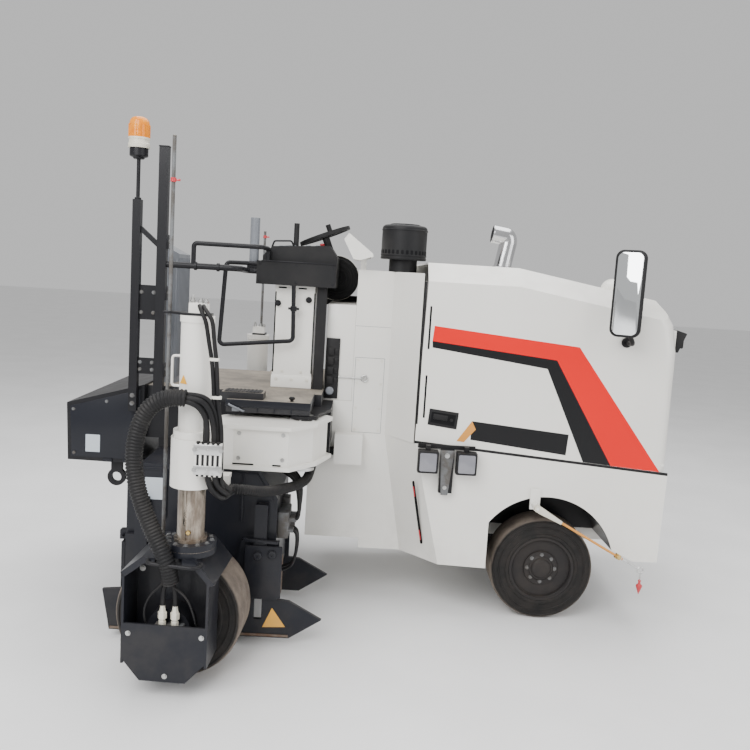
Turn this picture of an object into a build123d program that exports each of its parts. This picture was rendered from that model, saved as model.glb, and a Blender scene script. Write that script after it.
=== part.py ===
from build123d import *
from math import cos, radians, sin
import os

# Compact cold planer (road milling machine) on four solid rubber wheels.
# Millimetres. X runs forward, Y to the machine's left, Z up from the ground.
# The origin is on the ground, under the middle of the machine as it is parked,
# with its right rear leg swung out. Lengths below are measured from the front
# axle (x), from the middle of the engine hood (y) and from the ground (z).

# Frame of the machine
axle_x = 926.5
mid_y = 503.5
body = Plane(origin=(axle_x, mid_y, 0))

# Fits and clearances
seat_gap = 0.3
run_gap = 0.05
slide_gap = 0.5

# Wheels
tyre_r = 280.0
tyre_shoulder = 16.0
rim_r = 176.0
rim_wall = 14.0
front_tyre_w = 200.0
rear_tyre_w = 250.0
front_mid_y = 490.0
hub_r = 62.0
stub_r = 25.0

# Front axle
kingpin_y = 440.0
kingpin_r = 18.0
axle_boss_r = 36.0
axle_beam_x = 90.0
axle_boss_h = 90.0
knuckle_arm_h = 20.0
knuckle_web_y = 44.0
knuckle_web_t = 24.0
knuckle_flange_r = 58.0
knuckle_flange_t = 12.0

# Chassis shell below the hood
body_half = 650.0
sheet = 8.0
seam = 15.0
arch_r = 375.0
arch_x = -15.0
arch_z = 325.0
chassis_flange = 45.0
rail_y = 170.0
rail_w = 60.0
rail_z = (350.0, 430.0)

# Tie-down eyes on the front wall
eye_x = 628.0
eye_y = 330.0
eye_z = 455.0
eye_r = 14.0
eye_plate_r = 27.0
eye_plate_t = 20.0

# Hood
hood_rear_x = -720.0
hood_seam_rear_z = 963.0
hood_seam_front_z = 865.0
hood_front_x = 605.0
hood_top_z = 1888.0
hood_slope_x = -240.0
hood_nose_top = (495.0, 1762.0)
hood_nose_brow = (572.0, 1642.0)
hood_edge_drop = 96.0
hood_edge_in = 135.0
hood_nose_round = 70.0
hood_hinge_x = 572.0
hood_hinge_z = 905.0
hood_pin_r = 9.0

# Rear housing between the hood and the deck
housing_half = 450.0
housing_rear_x = -1300.0
housing_top_z = 1830.0
housing_upper_x = -1083.0
housing_low_z = 355.0
corner_x = -890.0

# Engine, radiator
engine_x = (-480.0, 230.0)
engine_half = 300.0
engine_z = (760.0, 1560.0)
front_foot_x = 372.0
radiator_x = (430.0, 510.0)
radiator_half = 400.0
radiator_z = (960.0, 1600.0)

# Rear frame and deck
girder_x = (-2122.0, -1310.0)
girder_y = (-700.0, 150.0)
girder_z = (872.0, 1120.0)
deck_z = 1180.0
deck_t = 60.0
deck_side_y = -1000.0

# Console, steering wheel and the tall post of the rails
console_x = (-1612.0, -1198.0)
console_z = (1725.0, 1846.0)
steer_hub = (-1277.0, -350.0, 2000.0)
steer_tilt_deg = 22.0
steer_r = 142.0
steer_disc_t = 18.0
tall_post_x = -2022.0

# Drum unit
drum_x = -1755.0
drum_z = 400.0
drum_core_r = 190.0
drum_y = (-1010.0, -510.0)
shaft_r = 45.0
unit_wall = 15.0
unit_y = (-1035.0, -485.0)
unit_x = (-2115.0, -1400.0)
unit_top_z = 860.0
unit_low_z = 250.0
pick_rows = 4
picks_per_row = 12
wrap_deg = 150.0

# Side plates of the drum unit
skid_t = 20.0
skid_off = 10.0
guide_w = 60.0
skid_low_z = 40.0

# Swing arm and right leg
pivot = (-1300.0, -950.0)
pivot_pin_r = 45.0
arm_z = (895.0, 1100.0)
arm_plate = 18.0
column = (-1715.0, -1490.0)
column_r = 65.5
column_top_z = 1600.0
column_low_z = 900.0
column_ring_r = 92.0
leg_r = 57.0
toe_deg = -3.0

# Left leg
left_column = (-1700.0, 300.0)
left_top_z = 1390.0

# Turning flange between a rear leg and its fork, and the spigot in it
swivel_z = 634.0
spigot_r = 40.0
spigot_h = 150.0

# Scale rods beside the legs, measured from the column's axis
rod_r = 7.5
right_rod = (-122.0, 30.0)
left_rod = (0.0, 128.0)

# Fork of a rear leg, measured from its column's axis
wheel_trail = 66.0
wheel_side = 195.0
yoke_z = (585.0, 610.0)
flange_z = 660.0
flange_r = 108.0
box_half = 180.0
box_y = (-120.0, 62.0)
box_plate = 10.0
cover_z = (80.0, 325.0)
conduit_notch = (-57.0, -124.0)

# Scraper door, guide pointer, air filter and hoses
scraper_x = unit_x[0] - 20.0
scraper_z = 495.0
scraper_pin_r = 7.0
pointer_y = -726.0
pointer_pivot = (-84.0, 657.0)
pointer_ring = (486.0, 356.0)
filter_y = (-140.0, 300.0)
filter_z = 1776.0
filter_r = 116.0
filter_band = 10.0
filter_x = housing_upper_x - seat_gap - filter_r - filter_band
conduit_r = 36.0
conduit_start = (-1630.0, -1578.0, arm_z[1] + seat_gap)
feed_r = 24.0
feed_start = (-1580.0, -1365.0, 850.0)
feed_end = (-1160.0, -500.0, 850.0)
hood_clear_x = -744.0


def level(z, base=body):
    """Horizontal plane, facing up."""
    return Plane(origin=base.origin + Vector(0, 0, z), x_dir=base.x_dir, z_dir=(0, 0, 1))


def side(y, base=body):
    """Upright plane that faces right: sketch x runs forward, sketch y runs up."""
    return Plane(origin=base.origin + base.y_dir * y, x_dir=base.x_dir, z_dir=-base.y_dir)


def across(x, base=body):
    """Upright plane that faces forward: sketch x runs left, sketch y runs up."""
    return Plane(origin=base.origin + base.x_dir * x, x_dir=base.y_dir, z_dir=base.x_dir)


def block(x, y, z, base=body, mode=Mode.ADD):
    """A flat-sided block between two places along each direction of its base."""
    with BuildSketch(level(min(z), base)) as plan:
        with Locations((sum(x) / 2, sum(y) / 2)):
            Rectangle(abs(x[1] - x[0]), abs(y[1] - y[0]))
    extrude(plan.sketch, amount=abs(z[1] - z[0]), dir=(0, 0, 1), mode=mode)


def side_plate(outline, y, base=body, mode=Mode.ADD):
    """A plate whose outline is seen from the side, between two places along y."""
    plane = side(max(y), base)
    with BuildSketch(plane) as face:
        Polygon(*outline, align=None)
    extrude(face.sketch, amount=abs(y[1] - y[0]), dir=plane.z_dir, mode=mode)


def flat_plate(outline, z, base=body, mode=Mode.ADD):
    """A plate whose outline is seen from above, between two heights."""
    with BuildSketch(level(min(z), base)) as face:
        Polygon(*outline, align=None)
    extrude(face.sketch, amount=abs(z[1] - z[0]), dir=(0, 0, 1), mode=mode)


def post(x, y, z, radius, base=body, mode=Mode.ADD):
    """A round bar that stands upright."""
    with BuildSketch(level(min(z), base)) as disc:
        with Locations((x, y)):
            Circle(radius)
    extrude(disc.sketch, amount=abs(z[1] - z[0]), dir=(0, 0, 1), mode=mode)


def cross_bar(x, y, z, radius, base=body, mode=Mode.ADD):
    """A round bar that lies across the machine."""
    plane = side(max(y), base)
    with BuildSketch(plane) as disc:
        with Locations((x, z)):
            Circle(radius)
    extrude(disc.sketch, amount=abs(y[1] - y[0]), dir=plane.z_dir, mode=mode)


def long_bar(x, y, z, radius, base=body, mode=Mode.ADD):
    """A round bar that lies along the machine."""
    plane = across(min(x), base)
    with BuildSketch(plane) as disc:
        with Locations((y, z)):
            Circle(radius)
    extrude(disc.sketch, amount=abs(x[1] - x[0]), dir=plane.z_dir, mode=mode)


def bent_tube(points, radius, bends, base=body):
    """A tube along straight runs joined by arcs; bends is one radius or one for each corner."""
    places = [base.from_local_coords(Vector(*point)) for point in points]
    with BuildLine() as path:
        FilletPolyline(*places, radius=bends)
    start = path.line @ 0
    with BuildSketch(Plane(origin=start, z_dir=path.line % 0)) as section:
        Circle(radius)
    sweep(section.sketch, path=path.line)


def open_radii(points):
    """The largest arcs that the runs of a route allow, one for each corner."""
    radii = []
    for before, corner, after in zip(points, points[1:], points[2:]):
        run_in = Vector(*corner) - Vector(*before)
        run_out = Vector(*after) - Vector(*corner)
        turn = radians(run_in.get_angle(run_out))
        radii.append(0.45 * min(run_in.length, run_out.length) / (sin(turn / 2) / cos(turn / 2)))
    print("bend radii", [round(radius) for radius in radii])
    return radii


made = []


def keep(part, label):
    """Label a finished piece and put it on the list that is written at the end."""
    part.label = label
    made.append(part)


# Front axle beam, hung under the chassis rails on its middle trunnion
beam_z = (tyre_r - axle_boss_h / 2, tyre_r + axle_boss_h / 2)
with BuildPart() as front_axle:
    block((-axle_beam_x / 2, axle_beam_x / 2), (-kingpin_y, kingpin_y), beam_z)
    for end in (-1, 1):
        post(0, end * kingpin_y, beam_z, axle_boss_r)
        for fore in (-1, 1):
            block((fore * axle_boss_r, fore * axle_beam_x),
                  (end * (kingpin_y - axle_boss_r), end * (kingpin_y + 60)),
                  beam_z, mode=Mode.SUBTRACT)
        post(0, end * kingpin_y, beam_z, kingpin_r + run_gap, mode=Mode.SUBTRACT)
    block((-60, 60), (-rail_y + seat_gap, rail_y - seat_gap), (beam_z[1], rail_z[1] - 20))
keep(front_axle.part, "front_axle")


def knuckle(end, label):
    """Steering knuckle: two arms round the axle's boss, kingpin, flange and stub."""
    web = (end * (kingpin_y + knuckle_web_y), end * (kingpin_y + knuckle_web_y + knuckle_web_t))
    arms = ((beam_z[1] + slide_gap, beam_z[1] + slide_gap + knuckle_arm_h),
            (beam_z[0] - slide_gap - knuckle_arm_h, beam_z[0] - slide_gap))
    flange_y = max(abs(value) for value in web)
    with BuildPart() as made_knuckle:
        post(0, end * kingpin_y, (arms[1][0], arms[0][1]), kingpin_r)
        for arm in arms:
            post(0, end * kingpin_y, arm, axle_boss_r)
            block((-axle_boss_r, axle_boss_r), (end * kingpin_y, web[1]), arm)
        block((-axle_boss_r, axle_boss_r), web, (arms[1][0], arms[0][1]))
        cross_bar(0, (end * flange_y, end * (flange_y + knuckle_flange_t)), tyre_r, knuckle_flange_r)
        cross_bar(0, (end * flange_y, end * (flange_y + 60)), tyre_r, stub_r)
        block((-138, -20), (end * (kingpin_y + 4), end * (kingpin_y - 34)), arms[1])
    keep(made_knuckle.part, label)


def tyre(hub, width, label):
    """Solid rubber tyre about the z direction of its hub plane."""
    with BuildPart() as ring:
        with BuildSketch(hub.offset(-width / 2)) as face:
            Circle(tyre_r)
            Circle(rim_r, mode=Mode.SUBTRACT)
        extrude(amount=width)
        outer = ring.edges().filter_by(GeomType.CIRCLE).sort_by(lambda edge: edge.radius)[-2:]
        fillet(outer, radius=tyre_shoulder)
    keep(ring.part, label)


def rim(hub, width, disc_at, hub_span, bore_r, bore_depth, label):
    """Rim about the z direction of its hub plane: barrel, dished disc and hub with its bore."""
    section = Plane(origin=hub.origin, x_dir=hub.x_dir, z_dir=-hub.y_dir)
    half = width / 2 - 6
    outer = rim_r - seat_gap
    inner = outer - rim_wall
    low, high = hub_span
    with BuildPart() as wheel:
        with BuildSketch(section) as profile:
            Polygon((0, low), (hub_r, low), (hub_r, disc_at - 14), (inner, disc_at - 6), (inner, -half),
                    (outer, -half), (outer, half), (inner, half), (inner, disc_at + 10),
                    (hub_r + 22, disc_at + 4), (hub_r, high), (0, high), align=None)
        revolve(axis=Axis(hub.origin, hub.z_dir))
        if bore_depth:
            mouth = hub.offset(low)
            with BuildSketch(mouth) as bore:
                Circle(bore_r)
            extrude(amount=bore_depth, mode=Mode.SUBTRACT)
    keep(wheel.part, label)


for end, name in ((-1, "right"), (1, "left")):
    knuckle(end, "front_" + name + "_knuckle")
    hub = Plane(origin=(axle_x, mid_y + end * front_mid_y, tyre_r), x_dir=(1, 0, 0), z_dir=(0, end, 0))
    face = kingpin_y + knuckle_web_y + knuckle_web_t + knuckle_flange_t + slide_gap
    tyre(hub, front_tyre_w, "front_" + name + "_tyre")
    rim(hub, front_tyre_w, 62, (face - front_mid_y, 84), stub_r + run_gap, 60, "front_" + name + "_rim")

# Chassis shell: folded side, front, rear and belly sheets round the engine, with the wheel arches
chassis_top = ((-735.0, hood_seam_rear_z - seam), (hood_front_x, hood_seam_front_z - seam))
chassis_foot = (-573.0, 300.0)
arch_foot = (-318.0, 545.0)
arch_heel = (348.0, 430.0)


def chassis_face():
    """Side outline of the shell; the wheel arch is an arc above an upright lip."""
    with BuildLine() as outline:
        Polyline(arch_heel, (467, 373), (597, 376), chassis_top[1], chassis_top[0], chassis_foot, (-318, 292),
                 arch_foot)
        ThreePointArc(arch_foot, (arch_x, arch_z + arch_r), arch_heel)
    return make_face(outline.edges())


with BuildPart() as chassis:
    with BuildSketch(side(body_half)):
        chassis_face()
    extrude(amount=2 * body_half)
    with BuildSketch(side(body_half - sheet)):
        chassis_face()
        offset(amount=-sheet)
    extrude(amount=2 * (body_half - sheet), mode=Mode.SUBTRACT)
    hatch = body_half - chassis_flange
    side_plate([(chassis_top[0][0] + chassis_flange, 800), (chassis_top[0][0] + chassis_flange, 1000),
                (hood_front_x - chassis_flange, 1000), (hood_front_x - chassis_flange, 800)],
               (-hatch, hatch), mode=Mode.SUBTRACT)
    for end in (-1, 1):
        block((-560, 590), (end * rail_y, end * (rail_y + rail_w)), rail_z)
        # Hinge bracket of the hood on the front wall, and the tie-down eye below it
        hinge_y = (end * 540, end * 560)
        block((hood_hinge_x - 20, hood_front_x - 4), hinge_y, (720, 842))
        block((hood_hinge_x - 20, hood_hinge_x + 18), hinge_y, (840, hood_hinge_z + 20))
        cross_bar(hood_hinge_x, (end * 539, end * 561), hood_hinge_z, hood_pin_r + run_gap,
                  mode=Mode.SUBTRACT)
        eye_plate = (end * eye_y, end * (eye_y + eye_plate_t))
        block((hood_front_x - 12, eye_x + eye_plate_r), eye_plate, (eye_z - 25, eye_z + 25))
        cross_bar(eye_x, eye_plate, eye_z, eye_plate_r)
        cross_bar(eye_x, (end * (eye_y - 1), end * (eye_y + eye_plate_t + 1)), eye_z, eye_r,
                  mode=Mode.SUBTRACT)
    # Lug of the guide pointer, hung from the top of the right wheel arch
    lug_x = (pointer_pivot[0] - 26, pointer_pivot[0] + 26)
    block(lug_x, (-body_half, -body_half - 12), (pointer_pivot[1] - 24, arch_z + arch_r + 45))
    cross_bar(pointer_pivot[0], (-body_half - 12, pointer_y + 16), pointer_pivot[1], 20)
    cross_bar(pointer_pivot[0], (pointer_y + 16, pointer_y - 14), pointer_pivot[1], 8)
keep(chassis.part, "chassis")

# Hood: one folded shell with sloping shoulders and a rounded nose, open below and behind
with BuildPart() as hood:
    with BuildSketch(side(body_half)):
        Polygon((-738, hood_seam_rear_z), (hood_front_x, hood_seam_front_z), (hood_front_x - 5, 1500),
                hood_nose_brow,
                hood_nose_top, (hood_slope_x, hood_top_z), (hood_rear_x, hood_top_z), align=None)
    extrude(amount=2 * body_half)
    for end in (0, -1):
        flank = hood.faces().sort_by(Axis.Y)[end]
        flank_y = flank.center().Y
        roof = [edge for edge in hood.edges()
                if abs(edge.center().Y - flank_y) < 1 and edge.center().Z > 1650
                and axle_x + hood_rear_x + 5 < edge.center().X < axle_x + hood_nose_top[0]]
        chamfer(roof, length=hood_edge_drop, length2=hood_edge_in, reference=flank)
    nose = [edge for edge in hood.edges()
            if edge.center().X > axle_x + 560 and abs(edge.center().Y - mid_y) > body_half - 50
            and abs(edge.tangent_at(0.5).Z) > 0.8]
    fillet(nose, radius=hood_nose_round)
    offset(amount=-sheet, openings=[hood.faces().sort_by(Axis.X)[0], hood.faces().sort_by(Axis.Z)[0]])
    with BuildSketch(across(hood_front_x + 20)) as grille:
        with GridLocations(0, 46, 1, 9):
            with Locations((0, 1180)):
                SlotOverall(560, 24)
    extrude(amount=-60, mode=Mode.SUBTRACT)
    for end in (-1, 1):
        block((hood_front_x - 20, hood_front_x + 20), (end * 532, end * 568), (hood_seam_front_z - 5, 965),
              mode=Mode.SUBTRACT)
        cross_bar(hood_hinge_x, (end * 536, end * (body_half - sheet / 2)), hood_hinge_z, hood_pin_r)
        # Front lamps in wedge-shaped housings
        with BuildSketch(side(end * 510 + 70)) as lamp:
            Polygon((hood_front_x - 12, 1500), (hood_front_x + 12, 1500), (hood_front_x + 52, 1600),
                    (hood_front_x - 30, 1618), align=None)
        extrude(lamp.sketch, amount=140, dir=(0, -1, 0))
    with BuildSketch(level(hood_nose_top[1] + 8)) as cap:
        with Locations((360, -330)):
            Circle(105)
    extrude(cap.sketch, amount=95, dir=(0, 0, 1))
    dome_top = [edge for edge in hood.edges().filter_by(GeomType.CIRCLE)
                if abs(edge.radius - 105) < 1 and edge.center().Z > hood_nose_top[1] + 90]
    fillet(dome_top, radius=60)
keep(hood.part, "hood")

# Exhaust elbow on the hood, open to the rear
with BuildPart() as exhaust:
    bent_tube([(-262, -200, hood_top_z + seat_gap), (-262, -200, 2066), (-352, -200, 2092)], 39, 45)
    with BuildSketch(Plane(origin=body.from_local_coords(Vector(-352, -200, 2092)),
                           z_dir=(-0.96, 0, 0.277))) as mouth:
        Circle(35)
    extrude(mouth.sketch, amount=-45, mode=Mode.SUBTRACT)
    post(-262, -200, (hood_top_z + seat_gap, hood_top_z + 8), 56)
keep(exhaust.part, "exhaust")

# Mirror on its bracket at the hood's right side
mirror_turn = 32.0
mirror_base = Plane(origin=body.from_local_coords(Vector(254, -800, 0)),
                    x_dir=(cos(radians(mirror_turn)), -sin(radians(mirror_turn)), 0), z_dir=(0, 0, 1))
with BuildPart() as mirror:
    with BuildSketch(side(20, mirror_base)):
        with Locations((0, 1790)):
            RectangleRounded(150, 430, 42)
    extrude(amount=30)
    fillet(mirror.faces().sort_by(lambda face: face.center().Y)[-1].edges(), radius=12)
    bent_tube([(318, -body_half - seat_gap, 1540), (318, -760, 1540), (258, -786, 1640)], 11, 30)
    cross_bar(318, (-body_half - seat_gap, -body_half - 10), 1540, 26)
keep(mirror.part, "mirror")

# Housing of the tanks between hood and deck, with its chamfered corners
with BuildPart() as tank_housing:
    shoulder = hood_seam_rear_z - seam
    shell_rear = (chassis_top[0][0] - seat_gap, chassis_foot[0] - seat_gap)
    with BuildSketch(level(shoulder)):
        Polygon((hood_clear_x, body_half), (corner_x, housing_half), (housing_upper_x, housing_half),
                (housing_upper_x, -housing_half), (corner_x, -housing_half), (hood_clear_x, -body_half),
                align=None)
    extrude(amount=housing_top_z - shoulder)
    with BuildSketch(level(shoulder)):
        Polygon((shell_rear[0], body_half), (corner_x, housing_half), (housing_rear_x, housing_half),
                (housing_rear_x, -housing_half), (corner_x, -housing_half), (shell_rear[0], -body_half),
                align=None)
    with BuildSketch(level(300)):
        Polygon((shell_rear[1], body_half), (corner_x + 120, housing_half), (housing_rear_x, housing_half),
                (housing_rear_x, -housing_half), (corner_x + 120, -housing_half), (shell_rear[1], -body_half),
                align=None)
    loft(ruled=True)
    block((housing_rear_x - 10, -1000), (-housing_half - 10, housing_half + 10), (290, housing_low_z),
          mode=Mode.SUBTRACT)
    block((housing_rear_x, housing_upper_x), (-housing_half, housing_half), (shoulder, girder_z[1]))
    # Terminal box where the feed hose ends
    block((feed_end[0] + seat_gap, -1010), (-545, -housing_half), (790, 950))
keep(tank_housing.part, "tank_housing")

# Air intake drum and the air filter canister behind it
with BuildPart() as air_intake:
    post(-848, -400, (housing_top_z + seat_gap, 1896), 75)
    post(-848, -400, (1896, 2078), 121)
    fillet(air_intake.edges().filter_by(GeomType.CIRCLE).sort_by(Axis.Z)[-1:], radius=22)
keep(air_intake.part, "air_intake")

with BuildPart() as air_filter:
    cross_bar(filter_x, filter_y, filter_z, filter_r)
    cross_bar(filter_x, (filter_y[0] + 4, filter_y[0] + 30), filter_z, filter_r + filter_band)
    block((filter_x - 60, housing_upper_x - seat_gap), (60, 160),
          (filter_z - filter_r - 45, filter_z - filter_r + 12))
keep(air_filter.part, "air_filter")

# Engine and radiator under the hood
with BuildPart() as engine:
    block(engine_x, (-engine_half, engine_half), engine_z)
    # Feet on the chassis rails, behind and in front of the wheel arches
    for end in (-1, 1):
        foot_y = (end * (rail_y + 5), end * (rail_y + rail_w - 5))
        block((engine_x[0], engine_x[0] + 60), foot_y, (rail_z[1] + seat_gap, engine_z[0]))
        block((front_foot_x, front_foot_x + 50), foot_y, (rail_z[1] + seat_gap, engine_z[0] + 40))
        block((engine_x[1] - 20, front_foot_x + 10), foot_y, (engine_z[0], engine_z[0] + 40))
keep(engine.part, "engine")

with BuildPart() as radiator:
    block(radiator_x, (-radiator_half, radiator_half), radiator_z)
    block((radiator_x[0] + 15, radiator_x[1] - 15), (-radiator_half + 40, radiator_half - 40),
          (rail_z[1] + seat_gap, radiator_z[0]))
    block((radiator_x[0], radiator_x[0] + 24), (-radiator_half + 30, radiator_half - 30),
          (radiator_z[0] + 30, radiator_z[1] - 30), mode=Mode.SUBTRACT)
    long_bar((radiator_x[0] - 60, radiator_x[0] + 30), 0, 1280, 190)
keep(radiator.part, "radiator")

# Rear frame: the girder under the deck, the left leg's clamp, the bracket of the swing arm
pin_lug = 58.0
with BuildPart() as rear_frame:
    block(girder_x, girder_y, (girder_z[0] + 40, girder_z[1]))
    block((girder_x[1], housing_rear_x - seat_gap), (-430, 150), (900, 1080))
    block((-1800, -1520), (girder_y[1], left_column[1] + left_rod[1] - 20), (930, 1060))
    post(left_column[0], left_column[1], (900, 1080), column_r + seat_gap, mode=Mode.SUBTRACT)
    # Lugs above and below the swing arm, joined by an upright web
    for z in ((girder_z[0], arm_z[0] - 5), (arm_z[1] + 5, girder_z[1])):
        flat_plate([(-1420, -700), (-1420, -745), (pivot[0] - pin_lug, pivot[1]),
                    (pivot[0], pivot[1] - pin_lug),
                    (pivot[0] + pin_lug, pivot[1]), (-1180, -745), (-1180, -650), (-1420, -650)], z)
        post(pivot[0], pivot[1], z, pin_lug + 12)
    block((-1420, -1180), (-730, -650), (girder_z[0], girder_z[1]))
    block((-1320, -1180), (-660, -460), (girder_z[0] + 40, girder_z[1]))
    post(pivot[0], pivot[1], (girder_z[0] - 5, girder_z[1] + 5), pivot_pin_r + run_gap, mode=Mode.SUBTRACT)
    # Hangers that carry the drum unit
    for x in (-2060, -1500):
        block((x, x + 60), (-690, -630), (unit_top_z + seat_gap, girder_z[0] + 40))
keep(rear_frame.part, "rear_frame")

# Deck: a ribbed step box, its pad, and the floor behind the console
deck_low = deck_z - deck_t
with BuildPart() as deck:
    block((-1670, -1272), (deck_side_y, -690), (deck_low + 3, deck_z))
    block((girder_x[0], -1235), (-690, 150), (deck_low + seat_gap, deck_z))
    block((-1600, -1235), (150, 430), (deck_low + seat_gap, deck_z))
    block((-1700, -1500), (-960, -860), (deck_z, deck_z + 32))
keep(deck.part, "deck")

# Console: a tower on the deck, the black box on it with the sloping dash, its foot post and steering column
steer_tilt = radians(steer_tilt_deg)
wheel_plane = Plane(origin=body.from_local_coords(Vector(*steer_hub)),
                    x_dir=(cos(steer_tilt), 0, sin(steer_tilt)),
                    z_dir=(-sin(steer_tilt), 0, cos(steer_tilt)))
with BuildPart() as console:
    block((-1516, -1306), (-500, -230), (deck_z + seat_gap, console_z[0]))
keep(console.part, "console_tower")

with BuildPart() as console_box:
    block(console_x, (-560, -150), (console_z[0] + seat_gap, console_z[1]))
    side_plate([(-1586, console_z[1]), (-1586, 1873), (-1569, 1892), (-1538, 1924), (-1238, 1942),
                (-1199, 1885),
                (-1199, console_z[1])], (-530, -170))
    block((-1295, -1243), (-510, -450), (deck_z + seat_gap, console_z[0] + seat_gap))
    with BuildSketch(wheel_plane.offset(-steer_disc_t / 2 - seat_gap)) as steering_column:
        Circle(20)
    extrude(steering_column.sketch, amount=-70)
    post(-1420, -482, (1925, 2050), 14)
keep(console_box.part, "console_box")

with BuildPart() as steering_wheel:
    with BuildSketch(wheel_plane):
        Circle(steer_r)
        Circle(steer_r - 19, mode=Mode.SUBTRACT)
        Circle(32)
        for turn in (90, 210, 330):
            with Locations((steer_r / 2 * cos(radians(turn)), steer_r / 2 * sin(radians(turn)))):
                Rectangle(steer_r - 20, 22, rotation=turn)
    extrude(amount=steer_disc_t / 2, both=True)
    # Knob on the rim
    with BuildSketch(wheel_plane.offset(steer_disc_t / 2)) as knob:
        with Locations((30, steer_r - 12)):
            Circle(14)
    extrude(knob.sketch, amount=52)
keep(steering_wheel.part, "steering_wheel")

# Folded lid in front of the steering wheel, with a cheek at each end, on its foot
with BuildPart() as dash_shield:
    side_plate([(-1167, 1982), (-1143, 2015), (-1014, 1917), (-1010, 1901), (-1082, 1878), (-1114, 1883)],
               (-540, -170))
    side_plate([(-1190, 1972), (-1161, 1978), (-1143, 2003), (-1022, 1911), (-1022, 1860), (-1130, 1860)],
               (-535, -175), mode=Mode.SUBTRACT)
    side_plate([(-1074, housing_top_z + seat_gap), (-1044, housing_top_z + seat_gap), (-1044, 1936),
                (-1074, 1959)],
               (-420, -290))
keep(dash_shield.part, "dash_shield")

# Black box at the rear, its tow ring below
with BuildPart() as rear_box:
    front = girder_x[0] - seat_gap
    side_plate([(-2510, 1078), (front, 1190), (front, 781), (-2502, 785)], (-750, 360))
    cross_bar(-2262, (-700, -724), 700, 46)
    cross_bar(-2262, (-699, -725), 700, 25, mode=Mode.SUBTRACT)
    block((-2290, -2234), (-700, -724), (735, 800))
keep(rear_box.part, "rear_box")

# Posts, rails and back panel round the deck
with BuildPart() as posts:
    block((-2190, -2150), (-800, -760), (1060, 2100))
    block((-2190, -2150), (-760, -750 - seat_gap), (1080, 1160))
    post(-2170, -780, (2100, 2291), 9)
    block((-2068, tall_post_x), (-800, -760), (1120, 2355))
    side_plate([(-2160, 1985), (-2160, 1955), (-2050, 1860), (-2050, 1890)], (-790, -770))
    side_plate([(-2160, 1250), (-2060, 1250), (-2060, 1330), (-2160, 1330)], (-785, -775))
    side_plate([(-2160, 1520), (-2060, 1520), (-2060, 1690), (-2160, 1690)], (-785, -775))
    block((-2068, -2022), (-760, -690 - seat_gap), (1125, 1165))
keep(posts.part, "rear_posts")

with BuildPart() as rails:
    rear_end = console_x[0] - seat_gap
    bent_tube([(tall_post_x + seat_gap, -780, 1797), (-1665, -780, 1797), (-1665, -545, 1790),
               (rear_end, -545, 1790)], 15, 40)
    bent_tube([(-1892, -780, 1800), (-1892, -780, 1908), (-1557, -780, 1908), (-1557, -545, 1908),
               (-1557, -545, console_z[1] + seat_gap)], 11.5, 18)
    # Loop from under the black box, back, up and forward into its rear wall
    bent_tube([(-1416, -548, console_z[0]), (-1407, -548, 1437), (-1785, -600, 1400), (-1762, -600, 1826),
               (-1660, -545, 1828), (rear_end, -545, 1828)], 11, 24)
keep(rails.part, "deck_rails")

with BuildPart() as rear_case:
    side_plate([(-2118, deck_z + seat_gap), (-2118, 1904), (-2012, 1853), (-2012, deck_z + seat_gap)],
               (-560, -300))
keep(rear_case.part, "rear_case")

# Beacon
with BuildPart() as beacon:
    post(-2170, -780, (2291 + seat_gap, 2345), 52)
    post(-2170, -780, (2345, 2490), 50)
    fillet(beacon.edges().filter_by(GeomType.CIRCLE).sort_by(Axis.Z)[-1:], radius=40)
keep(beacon.part, "beacon")

# Work lamps on the right flank
with BuildPart() as lamps:
    block((-720, -420), (-body_half - seat_gap, -body_half - 12), (930, 950))
    for x in (-668, -468):
        block((x - 52, x + 52), (-body_half - 22, -body_half - 78), (812, 926))
        block((x - 12, x + 12), (-body_half - 12, -body_half - 50), (926, 950))
    block((-600, -530), (-body_half - seat_gap, -body_half - 34), (700, 930))
keep(lamps.part, "work_lamps")

# Guide pointer: a tapered arm from its eye, then the long rod with the ring at its end
pointer_line = Vector(pointer_ring[0] - pointer_pivot[0], pointer_ring[1] - pointer_pivot[1], 0)
pointer_run = pointer_line.length


def pointer_at(along, above):
    """A place in the pointer's side view, along its line from the pivot and above it."""
    forward = pointer_line.normalized()
    return (pointer_pivot[0] + along * forward.X - above * forward.Y,
            pointer_pivot[1] + along * forward.Y + above * forward.X)


with BuildPart() as pointer:
    cross_bar(pointer_pivot[0], (pointer_y + 16 - slide_gap, pointer_y - 12), pointer_pivot[1], 17)
    cross_bar(pointer_pivot[0], (pointer_y + 17, pointer_y - 15), pointer_pivot[1], 8 + run_gap,
              mode=Mode.SUBTRACT)
    side_plate([pointer_at(*place) for place in ((14, 17), (14, -19), (150, -8), (150, 8))],
               (pointer_y + 12, pointer_y - 10))
    side_plate([pointer_at(*place) for place in ((138, 8), (138, -8), (pointer_run - 14, -8),
                                                 (pointer_run - 14, 8))],
               (pointer_y + 7, pointer_y - 7))
    cross_bar(pointer_ring[0], (pointer_y + 5, pointer_y - 5), pointer_ring[1], 20)
    cross_bar(pointer_ring[0], (pointer_y + 6, pointer_y - 6), pointer_ring[1], 11, mode=Mode.SUBTRACT)
keep(pointer.part, "guide_pointer")

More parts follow.
